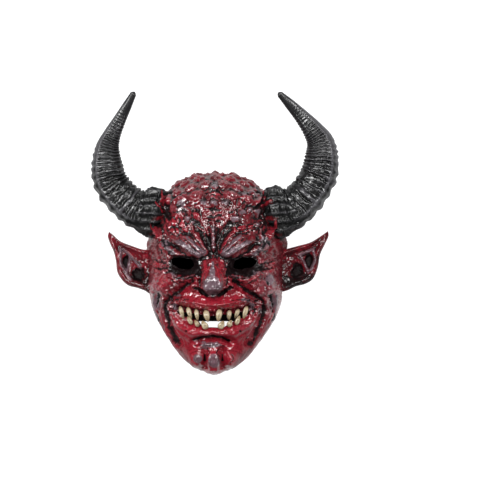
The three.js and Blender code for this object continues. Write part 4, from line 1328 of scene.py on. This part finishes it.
hornLines = {  # x, y, radius from root to point
    "left": [
        (52, 19, 30), (82, 27, 34), (102, 31.5, 27), (120, 44, 24.4), (137, 65, 23.2), (142.3, 88, 20.8),
        (141.5, 112, 15.6), (135.8, 128.2, 11.6), (126.2, 147.3, 8.6), (115.8, 166.5, 6.4), (105.6, 185.3, 4),
    ],
    "right": [
        (52, 19, 31), (83, 27.5, 35.6), (102, 33.2, 28.6), (120.5, 50, 25.8), (136, 76, 24.8),
        (139.8, 98, 22.4), (138, 118, 18.4), (129, 133.8, 13.8), (114, 152.2, 9.8), (98, 169, 7),
        (82.8, 184, 4),
    ],
}
horn = {
    "columns": 128,
    "rows": 440,
    "rootDepth": 124,
    "sway": 9,
    "flatness": 0.86,
    "keel": 0.1,
    "keelTurn": 0.6,
    "keelLine": 0.9,
    "streaks": 34,
    "streakHeight": 0.35,
    "stripes": 9,
    "stripeHeight": 1.9,
    "roundTip": 60,
    "roundRoot": 14,
    "seeds": {"left": 11, "right": 41},
}
hornSizes = {
    "ribPitch": 5.8, "ribHeight": 1.15, "ribWobble": 0.9, "scallopPitch": 8, "scallopHeight": 1.3,
    "foldDepth": 1.6, "lineDepth": 0.55, "seed": 11,
}


def hornGrowth():  # ribs across the face, scallops along the outer edge, folds over the thick lower bend
    tree = Growth("hornRibs", hornSizes)
    seed, run = tree.size("seed"), tree.read("run")
    wobble = tree.minus(tree.sized(15, seed), 0.5)
    fineWobble = tree.minus(tree.sized(5, tree.plus(seed, 2.7)), 0.5)
    turns = tree.plus(
        tree.math("DIVIDE", run, tree.size("ribPitch")),
        tree.times(wobble, tree.size("ribWobble")),
        tree.times(fineWobble, 0.6),
    )
    arches = tree.math("ABSOLUTE", tree.math("COSINE", tree.times(turns, math.pi)))
    patchy = tree.between(tree.sized(17, tree.plus(seed, 4.3)), 0.34, 0.66)
    ribs = tree.times(tree.minus(tree.times(arches, 1.8), 1.1), tree.plus(0.35, tree.times(patchy, 0.75)))
    bumps = tree.plus(tree.math("DIVIDE", run, tree.size("scallopPitch")), tree.times(wobble, 0.8))
    shapes = {
        "rib": (ribs, "ribHeight"),
        "scallop": (tree.math("COSINE", tree.times(bumps, 2 * math.pi)), "scallopHeight"),
        "fold": (tree.crossFolds(8.5, 50, tree.plus(seed, 5.1)), "foldDepth"),
        "line": (tree.crossFolds(3.6, 26, tree.plus(seed, 8.9)), "lineDepth"),
    }
    height = tree.plus(*(
        tree.times(shape, tree.size(label), tree.read(f"{name}Mask"))
        for name, (shape, label) in shapes.items()
    ))
    tree.push(height)
    tree.store("proud", height)
    return tree.close(charcoal)


hornRibs = hornGrowth()


def curveThrough(points, count):  # centripetal Catmull-Rom, as the solid's
    last = len(points) - 1
    made = []
    for place in np.linspace(0, last, count):
        one = min(int(place), last - 1)
        part = place - one
        p1, p2 = points[one], points[one + 1]
        p0 = points[one - 1] if one > 0 else 2 * p1 - p2
        p3 = points[one + 2] if one + 2 <= last else 2 * p2 - p1
        d0, d1, d2 = (np.linalg.norm(b - a) ** 0.5 for a, b in ((p0, p1), (p1, p2), (p2, p3)))
        t1 = ((p1 - p0) / d0 - (p2 - p0) / (d0 + d1) + (p2 - p1) / d1) * d1
        t2 = ((p2 - p1) / d1 - (p3 - p1) / (d1 + d2) + (p3 - p2) / d2) * d1
        cube = 2 * p1 - 2 * p2 + t1 + t2
        square = -3 * p1 + 3 * p2 - 2 * t1 - t2
        made.append(((cube * part + square) * part + t1) * part + p1)
    return np.array(made)


def makeHorn(which):
    line, mirror = hornLines[which], mirrors[which]
    shares = np.arange(len(line)) / (len(line) - 1)
    depths = [horn["rootDepth"] - horn["sway"] * math.sin(math.pi * place) for place in shares]
    middle = curveThrough(np.array([(x, y, depth) for (x, y, _), depth in zip(line, depths)], float), 600)
    heading = np.gradient(middle, axis=0)
    heading /= np.linalg.norm(heading, axis=1, keepdims=True)
    length = np.linalg.norm(np.diff(middle, axis=0), axis=1).sum()
    places = np.linspace(0, 1, len(middle))
    turn, share = ballGrid(horn["columns"], horn["rows"])
    along = 1 - share
    centre = np.stack([np.interp(along, places, values) for values in middle.T], -1)
    ahead = np.stack([np.interp(along, places, values) for values in heading.T], -1)
    across = np.stack([ahead[..., 1], -ahead[..., 0], np.zeros(along.shape)], -1)
    across /= np.linalg.norm(across, axis=-1, keepdims=True)
    radius = splineAt([(r,) for _, _, r in line], along)[..., 0]
    ends = np.sqrt(np.minimum(1, np.minimum(horn["roundTip"] * share, horn["roundRoot"] * along)))
    turned = (turn + math.pi) % (2 * math.pi) - math.pi
    sine, cosine, keelTurn = np.sin(turned), np.cos(turned), horn["keelTurn"]
    keel = horn["keel"] * hill((turned - keelTurn) / 0.7)
    rooted = smooth(share, 0.74, 0.9)
    shape = radius * ends * (1 + keel + 0.07 * rooted * np.cos(6 * turned))
    keelLine = horn["keelLine"] * hill((turned - keelTurn) / 0.17) * smooth(share, 0.05, 0.2) * (1 - rooted)
    onOuter = smooth(turned, keelTurn + 0.1, keelTurn + 0.3) * (1 - smooth(turned, 2.2, 2.6))
    streaks = horn["streakHeight"] * np.cos(turned * horn["streaks"]) * onOuter
    streaks = streaks * smooth(share, 0.1, 0.3) * (1 - smooth(share, 0.5, 0.65))
    stripes = horn["stripeHeight"] * rooted
    stripes = stripes * (1 - 2 * np.abs(np.sin(turned * horn["stripes"] + 10 * share)) ** 0.7)
    shape += (keelLine + streaks + stripes) * np.minimum(1, radius / 12) * ends
    points = centre + across * (shape * sine)[..., None]
    points[..., 2] += horn["flatness"] * shape * cosine
    flat = points.reshape(-1, 3)
    seen = smooth(cosine, 0, 0.4) * smooth(share, 0.68, 0.8)
    detail, paints = detailAt(flat[:, 0] * mirror, flat[:, 1])
    detail = detail.reshape(share.shape) * seen
    points += across * (detail * sine)[..., None]
    points[..., 2] += detail * cosine
    thing, _ = ballObject(f"horn_{which}", horn, middle[-1], points, middle[0], mirror)
    onFace = smooth(turned, -2.7, -2.1) * (1 - smooth(turned, keelTurn - 0.12, keelTurn + 0.1))
    lower = smooth(share, 0.42, 0.66)
    slim = np.minimum(1, radius / 14) * ends
    front = smooth(cosine, -0.9, -0.4)
    onEdge = hill((turned - 1.35) / 0.85)
    steps = np.linspace(0, 1, 400)
    widths = 0.75 + 0.8 * smooth(steps, 0.35, 0.75)  # ribs are wider lower down
    runs = np.cumsum(1 / widths) * length / len(steps)
    values = {
        "run": np.interp(share, steps, runs),
        "around": turned * radius,
        "ribMask": onFace * smooth(share, 0.1, 0.28) * (1 + 0.7 * lower) * (1 - rooted) * slim,
        "scallopMask": onEdge * smooth(share, 0.36, 0.5) * (1 - smooth(share, 0.8, 0.9)) * slim,
        "foldMask": lower * (1 - 0.6 * rooted) * slim * front,
        "lineMask": (0.2 + 0.8 * lower) * (1 + 0.8 * rooted) * smooth(share, 0.1, 0.35) * slim * front,
    }
    for name, value in values.items():
        storeValue(thing, name, withPoles(value))
    hornRibs.grow(thing, {**hornSizes, "seed": horn["seeds"][which]})
    proud = readValue(thing, "proud") / 1.2 + withPoles((shape - blurredGrid(shape, 3)) / 0.9)
    onKeel = hill((turned - keelTurn) / 0.2)
    # paler along the outer strip, and along the keel as a painted highlight
    strip = onOuter * (1 - 0.7 * lower) + 0.8 * onKeel * smooth(share, 0.05, 0.3) * (1 - rooted)
    rootLines = np.sin(turned * horn["stripes"] + 20 * share)
    rootLines = smooth(share, 0.84, 0.96) * smooth(rootLines, 0.2, 0.9)
    red = most(most(paints["red"], paints["pink"]).reshape(share.shape) * seen, 0.55 * rootLines)
    dropValues(thing, [*values, "proud"])
    storeMasks(thing, "paint", [0.5 + 0.5 * proud, withPoles(strip), withPoles(red)])
    storeMasks(thing, "form", [withPoles(rooted)] * 3)
    keepInBox(thing)
    return thing


# Ears, as on the right; the left one is mirrored

ear = {
    "outlines": {
        "left": [
            (141, 1.8), (142.6, -4.5), (139.6, -14), (134.6, -25), (131.6, -38), (130, -51), (124, -61.5),
            (115, -69.3), (103, -72.5), (93, -76), (84, -79.5), (78, -60), (77, -38), (84, -24), (97, -21.5),
            (111, -16.8), (125.5, -11), (135, -3),
        ],
        "right": [
            (148.6, 2.6), (149.2, -4.5), (143.5, -17), (138, -29), (135.2, -45), (129, -60), (119, -67),
            (106, -70.5), (94, -76), (84, -76), (78, -60), (77, -38), (86, -23), (96, -20.5), (109, -17),
            (125, -12.5), (137, -5.5),
        ],
    },
    "middle": (104, -42), "front": 108, "lean": 0.24, "thick": 3.6, "rim": 5, "bowl": 5, "holeDepth": 6,
    "columns": 200, "rows": 120, "ridgeHalf": 2.6, "ridgeHeight": 3.2,
    "holes": {  # middle, half sizes
        "left": [((118, -39.5), (7, 13.5)), ((101.5, -53.5), (14, 15))],
        "right": [((123.5, -37), (7.4, 14)), ((107, -50), (13.5, 15.5))],
    },
    "ridges": {
        "left": [
            [(125.5, -22), (125, -40), (117, -53.5), (111.5, -61.5)],
            [(113, -31), (115.5, -41.7), (117, -52.5)],
            [(125.5, -21), (116.5, -26.5), (107.5, -36.5), (98.5, -46.5)],
        ],
        "right": [
            [(128.8, -22), (131.4, -35), (126.1, -48.4), (122, -51), (117, -38.5), (111, -29), (128.8, -22)],
        ],
    },
    "looks": {  # seed, blackness in patches, blackness low down, dullness
        "left": (23, 0.35, 0.6, 0.45),
        "right": (43, 0.5, 0.85, 0.68),
    },
}


def makeEar(which):
    mirror, (seed, patchBlack, lowBlack, dullness) = mirrors[which], ear["looks"][which]
    turn, share = ballGrid(ear["columns"], ear["rows"])
    outline = ear["outlines"][which]
    edge = splineAt(outline + outline[:1], (1 - turn / (2 * math.pi)) % 1)
    out = np.sin(share * math.pi) ** 0.8
    mx, my = ear["middle"]
    x = mx + (edge[..., 0] - mx) * out
    y = my + (edge[..., 1] - my) * out
    base = ear["front"] - ear["lean"] * (x - mx)
    holes = [spot(x, y, middle, halves) for middle, halves in ear["holes"][which]]
    flat = np.column_stack([x.ravel(), y.ravel(), 0 * x.ravel()])
    ragged = clouds(flat, 6, seeds["earHole"]).reshape(x.shape)
    hole = smooth(np.max(holes, axis=0) * (0.5 + 0.9 * ragged), 0, 0.85)
    bowl = ear["bowl"] * hill(out / 0.86) + ear["holeDepth"] * hole
    nearest = np.min([awayFrom(path, x, y) for path in ear["ridges"][which]], axis=0)
    ridge = ear["ridgeHeight"] * hill(nearest / ear["ridgeHalf"])
    rim = ear["rim"] * hill((out - 0.9) / 0.3)
    isFront = share < 0.5
    height = np.where(isFront, rim - bowl + ridge, -ear["thick"] - bowl)
    z = base + height * (1 - out**12)
    first, last = [mx, my, z[0].mean()], [mx, my, z[-1].mean()]
    thing, everyPoint = ballObject(f"ear_{which}", ear, first, np.stack([x, y, z], -1), last, mirror)
    rooted = 1 - smooth(x, 86, 102)
    storeValue(thing, "rough", withPoles((0.3 + 0.5 * rooted - 0.15 * hole) * (1 - out**12)))
    wrinkledSkin.grow(thing, {**skinSizes, "seed": seed})
    wrinkle = readValue(thing, "wrinkle")
    dropValues(thing, ("rough", "wrinkle"))
    patches = clouds(everyPoint, 10, seeds["ear"])
    relief = np.where(isFront, (height - blurredGrid(height, 3)) / 0.8, 0)
    inHole = smooth(hole, 0.1, 0.6) * isFront
    onRidge = np.where(isFront, smooth(hill(nearest / 2.8), 0, 0.5), 0)
    low = smooth(-everyPoint[:, 1], 42, 60) * lowBlack
    black = most(
        # the ear's deep hollows, painted black as the shade in them
        withPoles(1.4 * inHole * (1 - hill(nearest / 2.2))),
        withPoles(0.9 * smooth(-relief, 0.3, 1.2)),
        withPoles(0.75 * isFront * hill((out - 0.62) / 0.3) * smooth(y, -30, -48)),  # painted shade inside the rim
        0.9 * smooth(0.7 - wrinkle, 0, 0.5),
        patchBlack * smooth(patches, 0.7, 0.3),
        low * (0.6 + 0.5 * patches),
    )
    black = black * (1 - 0.9 * withPoles(onRidge))
    grey = most(withPoles(0.9 * onRidge), 0.12 * smooth(patches, 0.6, 0.85))
    flesh = 0.8 * isFront * spot(x, y, (88, -30), (26, 22))
    red = withPoles(most(flesh, 0.4 * hill((out - 0.9) / 0.2))) * smooth(patches, 0.1, 0.5)
    storeMasks(thing, "paint", [black, grey, red])
    brushed = withPoles(most(0.25 * smooth(relief, 0, 1), onRidge))
    dullness = dullness * (1 - 0.6 * spot(x, y, (96, -30), (22, 12)))
    dullness = most(inHole * (1 - onRidge), dullness * (1 - 0.5 * onRidge))
    storeMasks(thing, "form", [brushed, withPoles(dullness), np.zeros(len(red))])
    keepInBox(thing)
    return thing


# Teeth: one tooth is shaped in a tree and stands once at each place

tooth = {"segments": 18, "rings": 16, "rootSunk": 0.8}
toothSizes = {"thickness": 2.6, "bow": 3.2, "taper": 0.55, "lean": 1.2, "uneven": 0.6, "seed": 5}


def faceDepth(x, y):
    low, high = 0.0, 1.0
    stations = np.array(head["stations"], float)
    while high - low > 1e-5:
        share = (low + high) / 2
        if splineAt(stations[:, [0]], [share])[0, 0] > y:
            low = share
        else:
            high = share
    side, front, back = splineAt(stations[:, [1, 2, 3]], [low])[0]
    middle = back + head["widestShare"] * (front - back)
    turn = math.asin((abs(x) / side) ** (1 / head["sectionPower"]))
    bare = middle + (front - middle) * math.cos(turn) ** head["sectionPower"]
    return bare + float(baseCarving(np.array([x]), np.array([y]), np.array([bare]))[0])


def toothGrowth():
    tree = Growth("toothRow", toothSizes)
    places = tree.geometry
    sphere = {"Segments": tooth["segments"], "Rings": tooth["rings"], "Radius": 1}
    tree.geometry = tree.node("GeometryNodeMeshUVSphere", sphere).outputs["Mesh"]
    position = tree.node("GeometryNodeInputPosition").outputs["Position"]
    split = tree.node("ShaderNodeSeparateXYZ", {"Vector": position})
    side, back, up = (split.outputs[name] for name in "XYZ")
    along = tree.times(tree.minus(1.0, up), 0.5)  # 0 at the root, 1 at the point
    belly = tree.minus(1.002, tree.times(up, up))
    tree.store("along", along)
    tree.store("edge", tree.math("POWER", tree.math("DIVIDE", tree.times(side, side), belly), 1.5))
    width = tree.minus(1.15, tree.times(tree.math("POWER", along, 1.4), tree.size("taper")))
    depth = tree.plus(
        tree.times(back, width, tree.size("thickness"), -1.0),
        tree.times(belly, tree.size("bow")),
        tree.times(along, tree.size("lean")),
    )

    def joined(values):
        return tree.node("ShaderNodeCombineXYZ", values).outputs["Vector"]

    place = joined({"X": tree.times(side, width), "Y": up, "Z": depth})
    shaped = tree.step("GeometryNodeSetPosition", {"Position": place})
    rotation = tree.node("FunctionNodeEulerToRotation", {0: joined({"Z": tree.read("turn")})})
    half, reach = tree.times(tree.read("half"), mm), tree.times(tree.read("reach"), mm)
    row = tree.node("GeometryNodeInstanceOnPoints", {
        "Points": places,
        "Instance": shaped.outputs["Geometry"],
        "Rotation": rotation.outputs[0],
        "Scale": joined({"X": half, "Y": reach, "Z": mm}),
    })
    tree.geometry = row.outputs["Instances"]
    tree.step("GeometryNodeRealizeInstances")
    tree.push(tree.times(tree.minus(tree.sized(2.6, tree.size("seed")), 0.5), tree.size("uneven")))
    return tree.close(ivory)


def makeTeeth():
    roots, points, halves = (np.array(column) for column in zip(*teeth))
    depths = [faceDepth(x, y) - tooth["rootSunk"] for x, y in roots.tolist()]
    ahead = points - roots
    thing = meshObject("teeth", np.column_stack([(roots + points) / 2, depths]), [])
    storeValue(thing, "turn", np.arctan2(ahead[:, 0], -ahead[:, 1]))
    storeValue(thing, "half", halves)
    storeValue(thing, "reach", np.hypot(ahead[:, 0], ahead[:, 1]) / 2)
    toothGrowth().grow(thing, toothSizes)
    along, edge = readValue(thing, "along"), readValue(thing, "edge")
    thing.data.polygons.foreach_set("use_smooth", [True] * len(thing.data.polygons))
    dropValues(thing, ("turn", "half", "reach", "along", "edge"))
    seam = hill(edge / 0.16) * smooth(along, 0.15, 0.35) * smooth(along, 0.95, 0.75)
    storeMasks(thing, "paint", [along, edge, seam])
    return thing


def finishPiece(thing, material):
    thing.data.materials.clear()
    thing.data.materials.append(material)
    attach(thing, "root")
    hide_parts("devil_mask")


finishPiece(makeHead(), latex)
print("head is carved and painted")
for which in ("left", "right"):
    finishPiece(makeHorn(which), charcoal)
    finishPiece(makeEar(which), latex)
print("horns and ears are made")
finishPiece(makeTeeth(), ivory)
print("teeth are set")
